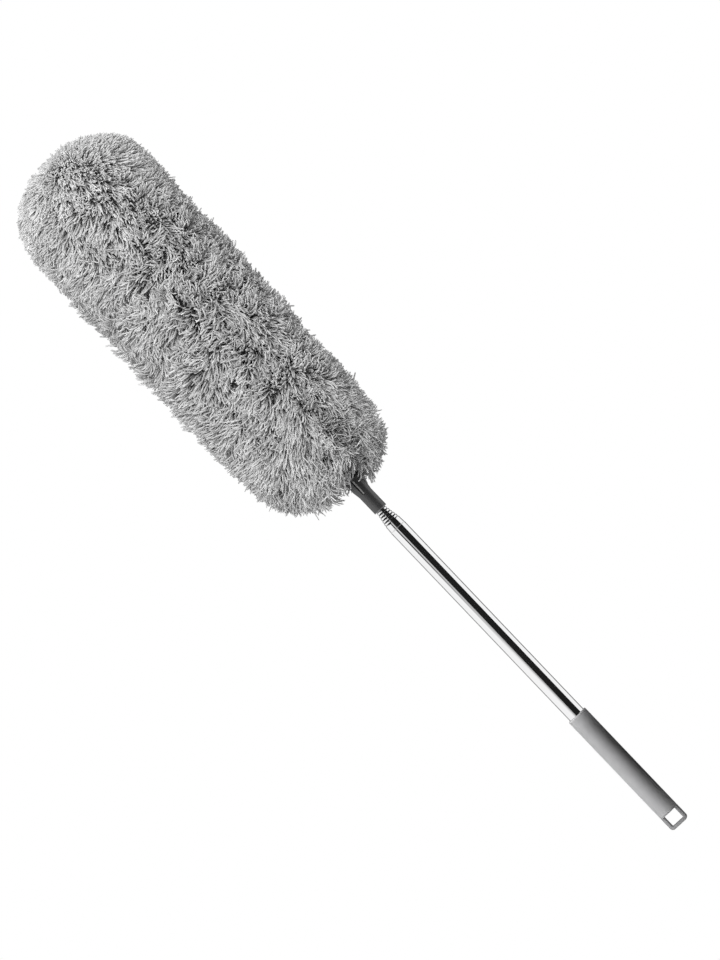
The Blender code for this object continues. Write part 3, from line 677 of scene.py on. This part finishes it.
stud = {"plugTop": -348.15, "plugRadius": 4.125, "collarTop": -362.45, "collarLow": -364.05,
        "collarRadius": 4.475, "threadLow": -372.05, "radius": 3.0, "core": 2.45, "pitch": 1.3,
        "rows": 96, "steps": 48, "flatLow": 0.12, "flank": 0.72}


def makeThread(stud):
    rings, low, high, core = [], stud["threadLow"], stud["collarLow"] - 0.3, stud["core"]
    for row in range(stud["rows"] + 1):
        z = high + (low - high) * row / stud["rows"]
        fade = max(0.0, min(1.0, z - low, (high - z) / 0.6 + 0.2))
        ring = []
        for turn in fullTurn(stud["steps"]):
            wave = abs(((z / stud["pitch"] - turn / (2 * math.pi)) % 1.0) * 2 - 1)
            crest = min(1.0, max(0.0, (wave - stud["flatLow"]) / stud["flank"]))
            r = core + (stud["radius"] - core) * crest * fade
            ring.append(roundPole(r * mm, z * mm, turn))
        rings.append(ring)
    return skin("studThread", rings, capped=True)


def makeStud(stud):
    plugRadius, collarRadius = stud["plugRadius"], stud["collarRadius"]
    collarLow = stud["collarLow"]
    plug = turned("tipStud", [
        (0, stud["plugTop"], 0), (plugRadius, stud["plugTop"], 0.4),
        (plugRadius, stud["collarTop"], 0), (collarRadius, stud["collarTop"], 0.15),
        (collarRadius, collarLow, 0.2), (stud["core"], collarLow, 0.1),
        (stud["core"], collarLow - 0.6, 0), (0, collarLow - 0.6, 0)], closed=False, steps=64)
    mesh = joinInto(plug, makeThread(stud), 40)
    addPiece("tipStud", mesh, "stud", "stage_6", ["tip_stud"])


makeStud(stud)
print("stud made")


# Grip, a moulded sleeve with soft ends

grip = {"top": -11.9, "low": -122.1, "radius": 9.2, "bore": 7.8, "edge": 0.8, "topEdge": 0.2,
        "straight": 30, "steps": 128}


def makeGrip(grip):
    radius, top, low = grip["radius"], grip["top"], grip["low"]
    mesh = turned("handleGrip", [
        (radius, top, grip["topEdge"]), (radius, top - grip["straight"], 0),
        (radius, low + grip["straight"], 0), (radius, low, grip["edge"]),
        (grip["bore"], low, 0.2), (grip["bore"], top, 0.2)], steps=grip["steps"])
    addPiece("handleGrip", mesh, "grip", "handle", ["handle_grip"])


makeGrip(grip)


# End cap: plug, flange and the square hanging loop

cap = {"halfWidth": 9.0, "sideBar": 2.9, "endBar": 3.0, "window": 11.0, "depth": 2.8,
       "corner": 3.2, "windowCorner": 0.8, "edge": 0.8, "flangeLow": -11.8, "spigotLow": -28.8,
       "bodyRadius": 7.7, "bodyLow": -16.5, "spigotRadius": 7.3}


def roundedCorners(points, radii, count):
    # A closed flat outline with a round arc at each corner
    outline = []
    for n, (here, radius) in enumerate(zip(points, radii)):
        here = Vector(here)
        back = (Vector(points[n - 1]) - here).normalized()
        ahead = (Vector(points[(n + 1) % len(points)]) - here).normalized()
        for k in range(count + 1):
            t = k / count * math.pi / 2
            outline.append(here + (back * (1 - math.sin(t)) + ahead * (1 - math.cos(t))) * radius)
    return outline


def loopOutline(half, foot, top, corner, footCorner):
    return roundedCorners([(half, foot), (half, top), (-half, top), (-half, foot)],
                          (footCorner, corner, corner, footCorner), 10)


def makeLoop(cap):
    half, foot = cap["halfWidth"], -cap["window"]
    outer = loopOutline(half, foot - 0.5, cap["endBar"], cap["corner"], 0.05)
    hole = loopOutline(half - cap["sideBar"], foot - 0.02, 0, cap["windowCorner"], 0.02)
    # The bar's section goes round: outside front, inside front, inside back, outside back
    edge, deep = cap["edge"], cap["depth"]
    arc = [(edge * (1 - math.sin(math.pi * k / 6)), edge * (1 - math.cos(math.pi * k / 6)))
           for k in range(4)]
    rings = []
    for far, near in zip(outer, hole):
        way = (far - near).normalized()
        section = [(far - way * b, deep - a) for a, b in arc]
        section += [(near + way * a, deep - b) for a, b in arc]
        section += [(near + way * b, a - deep) for a, b in arc]
        section += [(far - way * a, b - deep) for a, b in arc]
        rings.append([(p.x * mm, y * mm, p.y * mm) for p, y in section])
    return skin("endCapLoop", rings, closed=True)


def makeEndCap(cap):
    half, bodyRadius, spigotRadius = cap["halfWidth"], cap["bodyRadius"], cap["spigotRadius"]
    plug = turned("endCapPlug", [
        (0, -cap["window"], 0), (half, -cap["window"], 0.12), (half, cap["flangeLow"], 0.1),
        (bodyRadius, cap["flangeLow"], 0), (bodyRadius, cap["bodyLow"], 0.1),
        (spigotRadius, cap["bodyLow"], 0), (spigotRadius, cap["spigotLow"], 0.5),
        (0, cap["spigotLow"], 0)], closed=False)
    mesh = joinInto(makeLoop(cap), plug, 34)
    addPiece("endCapLoop", mesh, "cap", "handle", ["end_cap_loop"])


makeEndCap(cap)
print("handle made")


# Head connector: screwed socket that widens into a fork

fork = {"top": -357.75, "low": -400.25, "radius": 6.3, "wide": 7.35, "flareStart": -376.25,
        "flareEnd": -383.25, "edge": 0.45, "bore": 4.675, "threadBore": 3.2, "step": -364.35,
        "socketEnd": -372.35, "slot": 2.6, "cutReach": 12, "rivetHeight": -387.25,
        "rivetHole": 1.8, "rivetRadius": 1.5, "rivetReach": 7.05}


def cutOut(mesh, cutterMesh):
    whole, cutter = newObject("whole", mesh), newObject("cutter", cutterMesh)
    step = whole.modifiers.new("Cut", "BOOLEAN")
    step.operation, step.solver, step.object = "DIFFERENCE", "EXACT", cutter
    bpy.context.view_layer.update()
    seen = whole.evaluated_get(bpy.context.evaluated_depsgraph_get())
    mesh = bpy.data.meshes.new_from_object(seen)
    for spent in (whole, cutter):
        bpy.data.objects.remove(spent)
    return mesh


def makeConnector(fork):
    threadBore, bore = fork["threadBore"], fork["bore"]
    radius, wide = fork["radius"], fork["wide"]
    mesh = turned("headConnector", [
        (0, fork["socketEnd"], 0), (threadBore, fork["socketEnd"], 0),
        (threadBore, fork["step"], 0.1), (bore, fork["step"], 0), (bore, fork["top"], 0.15),
        (radius, fork["top"], fork["edge"]), (radius, fork["flareStart"], 3.0),
        (wide, fork["flareEnd"], 3.0), (wide, fork["low"], 0.9), (0, fork["low"], 0)],
        closed=False)
    # The slot is open along Y and its upper end is round
    half, hole, reach = fork["slot"] / 2 * mm, fork["rivetHole"], fork["cutReach"]
    below, centre = fork["low"] * mm - 0.01, fork["flareStart"] * mm - half
    arch = [(half * math.cos(turn), centre + half * math.sin(turn))
            for turn in fullTurn(24)[:13]] + [(-half, below), (half, below)]
    slotCutter = skin("slotCutter", [[(x, y, z) for x, z in arch] for y in (-0.02, 0.02)],
                      capped=True)
    holeCutter = turned("holeCutter", [(0, reach, 0), (hole, reach, 0), (hole, -reach, 0),
                        (0, -reach, 0)], closed=False, steps=40)
    mesh = cutOut(cutOut(mesh, slotCutter), layAcross(holeCutter, fork["rivetHeight"]))
    smoothOver(mesh, 32)
    addPiece("headConnector", mesh, "dark", "head", ["head_connector"])


def makeRivet(fork):
    reach, radius = fork["rivetReach"], fork["rivetRadius"]
    mesh = layAcross(turned("forkRivet", [
        (0, reach, 0), (0.8, reach - 0.03, 0.3), (radius, reach - 0.45, 0.35),
        (radius, 0.5 - reach, 0.35), (0.8, 0.03 - reach, 0.3), (0, -reach, 0)],
        closed=False, steps=40), fork["rivetHeight"])
    keepRestPlace(mesh)
    addPiece("forkRivet", mesh, "strip", "head", ["fork_rivet"])


makeConnector(fork)
makeRivet(fork)
print("connector made")


# Flat strip inside the head, one piece on the real duster

strip = {"top": -376.55, "low": -697.05, "thick": 1.0, "wide": 5.0, "edge": 0.35, "spacing": 4.0}


def makeStrip(name, top, low, half):
    t, w = strip["thick"], strip["wide"]
    section = roundedCorners([(t, w), (-t, w), (-t, -w), (t, -w)], (strip["edge"],) * 4, 3)
    rows = max(2, round((top - low) / strip["spacing"]))
    rings = [[(p.x * mm, p.y * mm, (top + (low - top) * row / rows) * mm) for p in section]
             for row in range(rows + 1)]
    mesh = skin(name, rings, capped=True, sharp=34)
    addBendingPiece(name, mesh, "strip", half, "strip")


makeStrip("stripUpper", strip["top"], halfway, "upper")
makeStrip("stripLower", halfway, strip["low"], "lower")
repaint("strip_cap", "dark")
print("strip made")


# Sleeve and elastic hem

sleeve = {"top": -391.25, "hemLow": -395.75, "hemRadius": 9.2, "radius": 11.1, "bore": 7.7,
          "low": -703.5, "spacing": 4.0,
          "end": ((10.0, 4.5), (6.4, 1.2), (2.5, 0), (2.5, 1.2), (5.2, 2.2))}
hem = {"radius": 10.7, "thick": 1.2, "height": -393.5, "ribs": 44, "ribDepth": 0.07, "steps": 176,
       "sides": 14}


def straightWall(radius, start, end):
    count = max(1, round(abs(end - start) / sleeve["spacing"]))
    return [(radius, start + (end - start) * k / count, 0) for k in range(count + 1)]


def makeSleeve(sleeve):
    top, low, hemLow, bore = sleeve["top"], sleeve["low"], sleeve["hemLow"], sleeve["bore"]
    upper = [(sleeve["hemRadius"], top, 0.4), (sleeve["hemRadius"], hemLow, 0.4)]
    upper += straightWall(sleeve["radius"], hemLow, halfway) + straightWall(bore, halfway, top)
    lower = straightWall(sleeve["radius"], halfway, low + 9)
    lower += [(radius, low + rise, 0) for radius, rise in sleeve["end"]]
    lower += straightWall(bore, low + 8, halfway)
    for name, corners, half in (("sleeveUpper", upper, "upper"), ("sleeveLower", lower, "lower")):
        addBendingPiece(name, turned(name, corners, steps=48), "knit", half, carrier=None)


def makeElasticHem(hem):
    rings = []
    for turn in fullTurn(hem["steps"]):
        rib = hem["ribDepth"] * (math.cos(turn * hem["ribs"]) - 1)
        thick = hem["thick"] * (1 + rib)
        rings.append([roundPole((hem["radius"] + thick * math.cos(side)) * mm,
                                (hem["height"] + thick * math.sin(side)) * mm, turn)
                      for side in fullTurn(hem["sides"])])
    mesh = skin("elasticHem", rings, closed=True)
    keepRestPlace(mesh)
    addPiece("elasticHem", mesh, "elastic", "head", ["elastic_hem"])


makeSleeve(sleeve)
makeElasticHem(hem)
print("sleeve made")


# Microfibre pile. Each row of its outer surface, from the tip's middle to the skirt, is the
# radius and height of the strands' ends, how far the strands lean to the handle, their length,
# the depth of the ground they stand in, how far they are combed back, and their thickness.

pile = {
    "rows": (
        (0.5, -757.6, -90, 17, 9, 0, 0.85), (14, -757, -80, 17, 9, 0.12, 0.85),
        (26, -755, -70, 17, 9, 0.3, 0.85), (36, -751.2, -60, 18, 9, 0.48, 0.85),
        (45.5, -745, -48, 19, 10, 0.6, 0.85), (54, -737, -36, 20, 10, 0.62, 0.88),
        (59.5, -729, -25, 21, 11, 0.58, 0.9), (63, -720.5, -15, 22, 12, 0.5, 0.92),
        (65.3, -711, -6, 23, 13, 0.4, 0.94), (66, -697, 3, 24, 14, 0.3, 0.96),
        (66, -681, 10, 25, 15, 0.2, 0.98), (65.4, -655, 15, 26, 15, 0.1, 1),
        (65, -628, 19, 26, 15, 0, 1), (64, -586, 22, 26, 15, 0, 1),
        (64, -545, 23, 26, 15, 0, 1), (63.2, -504, 23, 26, 15, 0, 1),
        (62.2, -470, 23, 27, 16, 0.08, 1), (62, -447, 23, 29, 18, 0.2, 1),
        (60.5, -434, 25, 32, 22, 0.34, 0.92), (58.5, -422, 28, 37, 27, 0.38, 0.85),
        (55.5, -411, 32, 40, 31, 0.3, 0.8), (51, -402, 36, 42, 34, 0.16, 0.8),
        (43.5, -394, 42, 41, 37, 0.05, 0.8), (35, -388.5, 50, 35, 31, 0, 0.8),
        (26, -385, 58, 28, 25, 0, 0.8), (19, -385.5, 66, 20, 17, 0, 0.8),
        (14, -388.5, 74, 14, 11, 0, 0.8), (11.8, -391.5, 84, 8, 5, 0, 0.8),
    ),
    "drift": ((-758, 0.0), (-600, 2.6), (-462, 4.8), (-416, 5.6), (-395, 3.0), (-380, 0.5)),
    "sag": {"side": 5.5, "front": 8.5, "start": 54, "end": 30, "above": -431},
    "strands": 52000, "clumpSpacing": 6.0, "seed": 11, "pull": 0.1, "tilt": 28.0, "droop": 0.75,
    "tipBend": 36.0, "thickness": 1.25, "waver": 0.045, "waves": 7.5, "scatter": 0.28,
    "lengthSpread": (0.92, 1.04), "thickSpread": (0.85, 1.15), "toneSpread": 0.22,
    "clumpTone": 0.16, "rootBow": 0.42, "endBow": 0.34,
    "evenSteps": (0.7548776662466927, 0.5698402909980532),
    "dense": {"below": -718, "gain": 1.35},  # the round end has more strands than the rest
    "swirls": ((24.0, (0, 0, 0), 4.2), (9.0, (7, 3, 1), 2.0)),
    "lumps": (34.0, (1, 8, 4), 2.0), "furrows": (24.0, (4, 4, 9), 1.0), "furrowWidth": 0.1,
    "sunk": {"part": 0.42, "least": 3.0, "most": 9.0, "dark": 0.07},
    "stray": {"part": 0.03, "least": 1.0, "most": 4.0},
    "comb": {"root": 48, "end": 80, "calm": 0.8},
    "fan": {"start": -455, "end": -415, "pull": 0.3, "waver": 2.2},
    "parting": {"at": 0.46, "width": 0.15, "deep": 8.0, "dark": 1.1, "start": -478, "end": -448,
                "stop": 0.93},
    "paintedTipLight": {"start": -650, "end": -735, "gain": 0.34},
    "shares": (0.0, 0.36, 0.64, 0.84, 0.97, 1.0), "widths": (0.85, 0.95, 1.0, 1.05, 0.9, 0.0),
    "sides": 4, "ground": {"steps": 96, "spacing": 4.0, "lumpSize": 6.0, "lump": 1.6, "full": 15},
}
columns = ("radius", "height", "lean", "long", "deep", "comb", "thick")
pileRows = dict(zip(columns, np.array(pile["rows"], float).T))
rowLength = np.concatenate([[0], np.cumsum(np.hypot(np.diff(pileRows["radius"]),
                                                    np.diff(pileRows["height"])))])
# Heights that part the pile into rows of about as many strands each
pileCuts = (-370, -414, -445, -476, -506, halfway, -571, -606, -641, -675, -707, -737, -770)
leftward, forward = np.array(towardsLowerLeft), np.array(lookAhead)


def onSurface(length, column):
    return np.interp(length, rowLength, pileRows[column])


def scaled(vectors, lengths):
    return vectors * lengths[..., None]


def between(first, second, angle):
    return scaled(first, np.cos(angle)) + scaled(second, np.sin(angle))


def unit(vectors):
    return vectors / np.linalg.norm(vectors, axis=-1, keepdims=True)


def ramp(values, span):
    return np.clip((values - span["start"]) / (span["end"] - span["start"]), 0, 1)


def spreadOver(count, shift):
    # Evenly spread places on the outer surface, as length along it and angle round it
    fine = np.linspace(0, rowLength[-1], 4000)
    dense = np.where(onSurface(fine, "height") < pile["dense"]["below"], pile["dense"]["gain"], 1)
    area = np.cumsum(np.maximum(onSurface(fine, "radius"), 3.0) * dense)
    spots = np.outer(np.arange(count) + shift, pile["evenSteps"]) % 1.0
    return np.interp(spots[:, 0] * area[-1], area, fine), spots[:, 1] * 2 * math.pi


def surfaceFrame(length, turn):
    # Place, growing direction, and the directions round and along the surface
    radius, height = onSurface(length, "radius"), onSurface(length, "height")
    lean = np.radians(onSurface(length, "lean"))
    east, north, up = np.eye(3)
    out, around = between(east, north, turn), between(north, -east, turn)
    # The skirt hangs lower at the photo's front and lower left
    sag = pile["sag"]
    inward = ramp(radius, sag)
    inward = inward ** 2 * (3 - 2 * inward) * (height > sag["above"])
    lower = sag["side"] * (1 + out @ leftward) + sag["front"] * np.maximum(0, out @ -forward)
    spot = scaled(out, radius) + scaled(up, height - lower * inward)
    spot += scaled(leftward, np.interp(height, *zip(*pile["drift"])))
    return spot, between(out, up, lean), around, between(up, -out, lean)


def lumpAt(here, size, shift, gain):
    return noise.noise(here / size + Vector(shift)) * gain


def makeClumps(draw):
    fine = np.linspace(0, rowLength[-1], 400)
    area = 2 * math.pi * rowLength[-1] * onSurface(fine, "radius").mean()
    count = int(area / pile["clumpSpacing"] ** 2)
    length, turn = spreadOver(count, 0.37)
    length = np.clip(length + draw.normal(0, 1.2, count), 0, rowLength[-1])
    turn += draw.normal(0, 1.2, count) / np.maximum(onSurface(length, "radius"), 12)
    spot, grow, around, back = surfaceFrame(length, turn)
    swirl, height = np.zeros(count), np.zeros(count)
    for n in range(count):
        here = Vector(spot[n])
        swirl[n] = sum(lumpAt(here, *each) for each in pile["swirls"])
        furrow = 1 - abs(lumpAt(here, *pile["furrows"])) / pile["furrowWidth"]
        height[n] = lumpAt(here, *pile["lumps"]) - max(0.0, furrow)
    height += draw.normal(0, 0.9, count)
    swirl += draw.normal(0, 0.5, count)
    tilt = np.radians(np.clip(draw.normal(pile["tilt"], 8, count), 6, 46))
    # The strands' ends hang towards the bottom of the picture
    slope = camera["poleSlope"]
    down = np.array([*(leftward * math.cos(slope))[:2], math.sin(slope)])
    left = np.clip(spot[:, :2] @ leftward[:2] / 60, -1, 1)
    right = np.maximum(0, -left)
    hang = pile["droop"] * (0.7 + 0.3 * left - 0.4 * right)
    side = between(around, back, swirl) + scaled(down - scaled(grow, grow @ down), hang)
    # A parting divides the skirt's right lobe from the rest, and its strands are painted darker as
    # the shade in it
    parting = pile["parting"]
    cleft = np.exp(-((left + parting["at"]) / parting["width"]) ** 2)
    cleft *= ramp(spot[:, 2], parting) * (length < rowLength[-1] * parting["stop"])
    return {"spot": spot, "side": side, "height": height - parting["deep"] * cleft,
            "tilt": tilt * (1 - 0.4 * right ** 2),
            "tone": draw.normal(0, pile["clumpTone"], count) - parting["dark"] * cleft}


def someOf(draw, count, kind):
    return (draw.random(count) < kind["part"]) * draw.uniform(kind["least"], kind["most"], count)


def growStrands():
    draw = np.random.default_rng(pile["seed"])
    clumps = makeClumps(draw)
    tree = kdtree.KDTree(len(clumps["spot"]))
    for n, spot in enumerate(clumps["spot"]):
        tree.insert(spot, n)
    tree.balance()
    count, fan, light = pile["strands"], pile["fan"], pile["paintedTipLight"]
    length, turn = spreadOver(count, 0.0)
    spot, grow, around, back = surfaceFrame(length, turn)
    owner = np.array([tree.find(p)[1] for p in spot])
    comb = onSurface(length, "comb")
    long = onSurface(length, "long") * draw.uniform(*pile["lengthSpread"], count)

    root = spot - scaled(between(grow, back, np.radians(pile["comb"]["root"]) * comb), long)
    loose = 1.0 - pile["comb"]["calm"] * comb
    # Short strands stand up, so that they fill the partings between the locks
    sunk = someOf(draw, count, pile["sunk"])
    tilt = clumps["tilt"][owner] * loose * np.where(sunk > 0, 0.2, 1.0)
    tilt += np.radians(draw.normal(0, 5, count)) * loose
    side = clumps["side"][owner] + scaled(around, draw.normal(0, pile["scatter"], count))
    side = unit(side + scaled(back, draw.normal(0, pile["scatter"], count)))
    # Strands gather into wavy fanned locks towards the skirt
    fanned = ramp(spot[:, 2], fan)
    pull = pile["pull"] * loose + fan["pull"] * fanned
    height = clumps["height"][owner] * loose + draw.normal(0, 0.8, count)
    height += someOf(draw, count, pile["stray"]) * loose - sunk
    end = scaled(spot, 1 - pull) + scaled(clumps["spot"][owner], pull)
    end += scaled(side, long * np.sin(tilt))
    end += scaled(grow, height - 0.45 * long * (1 - np.cos(tilt)))
    tipBend = tilt * 1.4 + np.radians(pile["tipBend"]) * draw.uniform(0.2, 1.5, count) * loose
    combed = between(grow, back, np.radians(pile["comb"]["end"]) * comb)
    tipWay = unit(scaled(between(grow, side, tipBend), 1 - comb) + scaled(combed, comb))
    span = np.linalg.norm(end - root, axis=1)
    first = root + scaled(grow, span * pile["rootBow"])
    second = end - scaled(tipWay, span * pile["endBow"])

    shares = np.array(pile["shares"])
    t = shares[None, :, None]
    path = (root[:, None] * (1 - t) ** 3 + first[:, None] * 3 * t * (1 - t) ** 2
            + second[:, None] * 3 * t * t * (1 - t) + end[:, None] * t ** 3)
    across = unit(np.cross(grow, side))
    waver = draw.normal(0, pile["waver"], count) * span * (1 + (fan["waver"] - 1) * fanned)
    phase = draw.uniform(0, 2 * math.pi, count)
    wave = np.sin(shares * pile["waves"] + phase[:, None]) * shares
    path += scaled(across[:, None], scaled(wave, waver))
    thick = onSurface(length, "thick") * pile["thickness"]
    thick *= draw.uniform(*pile["thickSpread"], count)
    tone = 0.5 + 0.5 * clumps["tone"][owner] + draw.normal(0, pile["toneSpread"], count)
    # Sunk strands are painted darker, as shade deep in the pile
    tone = np.clip(tone - pile["sunk"]["dark"] * sunk, 0, 1)
    # The blunt tip is painted a little paler, as light falling on it
    return {"path": path, "across": across, "thick": thick, "comb": comb, "height": spot[:, 2],
            "tone": tone + light["gain"] * ramp(spot[:, 2], light)}


def strandFaces(rings, sides, shares):
    # Bands of quads, the point's triangles and the root's cap, each corner with its map place
    faces = []
    for ring in range(rings):
        here, after = ring * sides, (ring + 1) * sides
        low, high = shares[ring], shares[ring + 1]
        for s in range(sides):
            n = (s + 1) % sides
            if ring < rings - 1:
                faces.append([(here + s, s, low), (here + n, s + 1, low), (after + n, s + 1, high),
                              (after + s, s, high)])
            else:
                faces.append([(here + s, s, low), (here + n, s + 1, low), (after, s + 0.5, 1.0)])
    faces.append([(sides - 1 - s, sides - s, 0.0) for s in range(sides)])
    return faces


def makeFurPiece(name, grown, chosen, half):
    path, across = grown["path"][chosen], grown["across"][chosen]
    count, rings, sides = len(path), path.shape[1] - 1, pile["sides"]
    along = unit(np.gradient(path, axis=1))
    first = unit(np.cross(along, across[:, None]))
    second = np.cross(along, first)
    reach = scaled(np.array(pile["widths"])[None], grown["thick"][chosen] / 2)
    size = rings * sides + 1
    points = np.zeros((count, size, 3))
    for s, turn in enumerate(fullTurn(sides)):
        offset = first * math.cos(turn) + second * math.sin(turn)
        points[:, s:rings * sides:sides] = (path + scaled(offset, reach))[:, :rings]
    points[:, -1] = path[:, -1]

    # The first strand's faces serve all the others, a strand's points further on
    shares = np.array(pile["shares"])
    faces = strandFaces(rings, sides, shares)
    corners, *marks = np.array([corner for face in faces for corner in face]).T
    starts = np.cumsum([0] + [len(face) for face in faces[:-1]])
    each = np.arange(count)[:, None]
    mesh = bpy.data.meshes.new(name)
    mesh.vertices.add(count * size)
    mesh.vertices.foreach_set("co", (points * mm).astype(np.float32).ravel())
    mesh.loops.add(count * len(corners))
    mesh.loops.foreach_set("vertex_index", (corners + each * size).astype(np.int32).ravel())
    mesh.polygons.add(count * len(starts))
    mesh.polygons.foreach_set("loop_start",
                              (starts + each * len(corners)).astype(np.int32).ravel())
    mesh.update(calc_edges=True)
    mesh.shade_smooth()

    # A strand fills one cell of the map, so that the baked tones stay apart
    cells = math.ceil(math.sqrt(count))
    marks = np.array(marks).T / np.array([sides, 1.0]) * 0.8 + 0.1
    spots = (np.stack([each % cells, each // cells], 2) + marks) / cells
    layer = mesh.uv_layers.new(name="OFBake")
    layer.data.foreach_set("uv", spots.astype(np.float32).ravel())

    pointShares = np.concatenate([np.repeat(shares[:rings], sides), [1.0]])
    values = {key: np.repeat(grown[key][chosen], size) for key in ("tone", "comb")}
    values["share"] = np.tile(pointShares, count)
    for key, value in values.items():
        layer = mesh.attributes.new(key, "FLOAT", "POINT")
        layer.data.foreach_set("value", value.astype(np.float32))
    addBendingPiece(name, mesh, "fur", half)


def makeGround(name, start, end, half):
    # The dense inner pile, painted dark as the shade deep between the strands
    ground = pile["ground"]
    rows = max(8, round((end - start) / ground["spacing"]))
    turns = np.array(fullTurn(ground["steps"]))
    rings = []
    for length in np.linspace(start, end, rows + 1):
        spot, grow = surfaceFrame(np.full(len(turns), length), turns)[:2]
        deep = float(onSurface(length, "deep"))
        gain = ground["lump"] * min(1.0, deep / ground["full"])
        ring = []
        for here, way in zip(map(Vector, spot - grow * deep), map(Vector, grow)):
            ring.append((here + way * lumpAt(here, ground["lumpSize"], (0, 0, 0), gain)) * mm)
        rings.append(ring)
    addBendingPiece(name, skin(name, rings, capped=True), "shadedGround", half)


def makePile():
    grown = growStrands()
    for number, (high, low) in enumerate(zip(pileCuts, pileCuts[1:]), 1):
        chosen = np.where((grown["height"] <= high) & (grown["height"] > low))[0]
        makeFurPiece(f"pileRow{number}", grown, chosen, "upper" if low >= halfway else "lower")
    middle = float(np.interp(halfway, pileRows["height"], rowLength))
    makeGround("pileGroundUpper", middle - 3, rowLength[-1], "upper")
    makeGround("pileGroundLower", 0.0, middle + 3, "lower")
    print("strands:", len(grown["tone"]))


makePile()
print("pile made")

bpy.context.scene.view_settings.view_transform = "Standard"
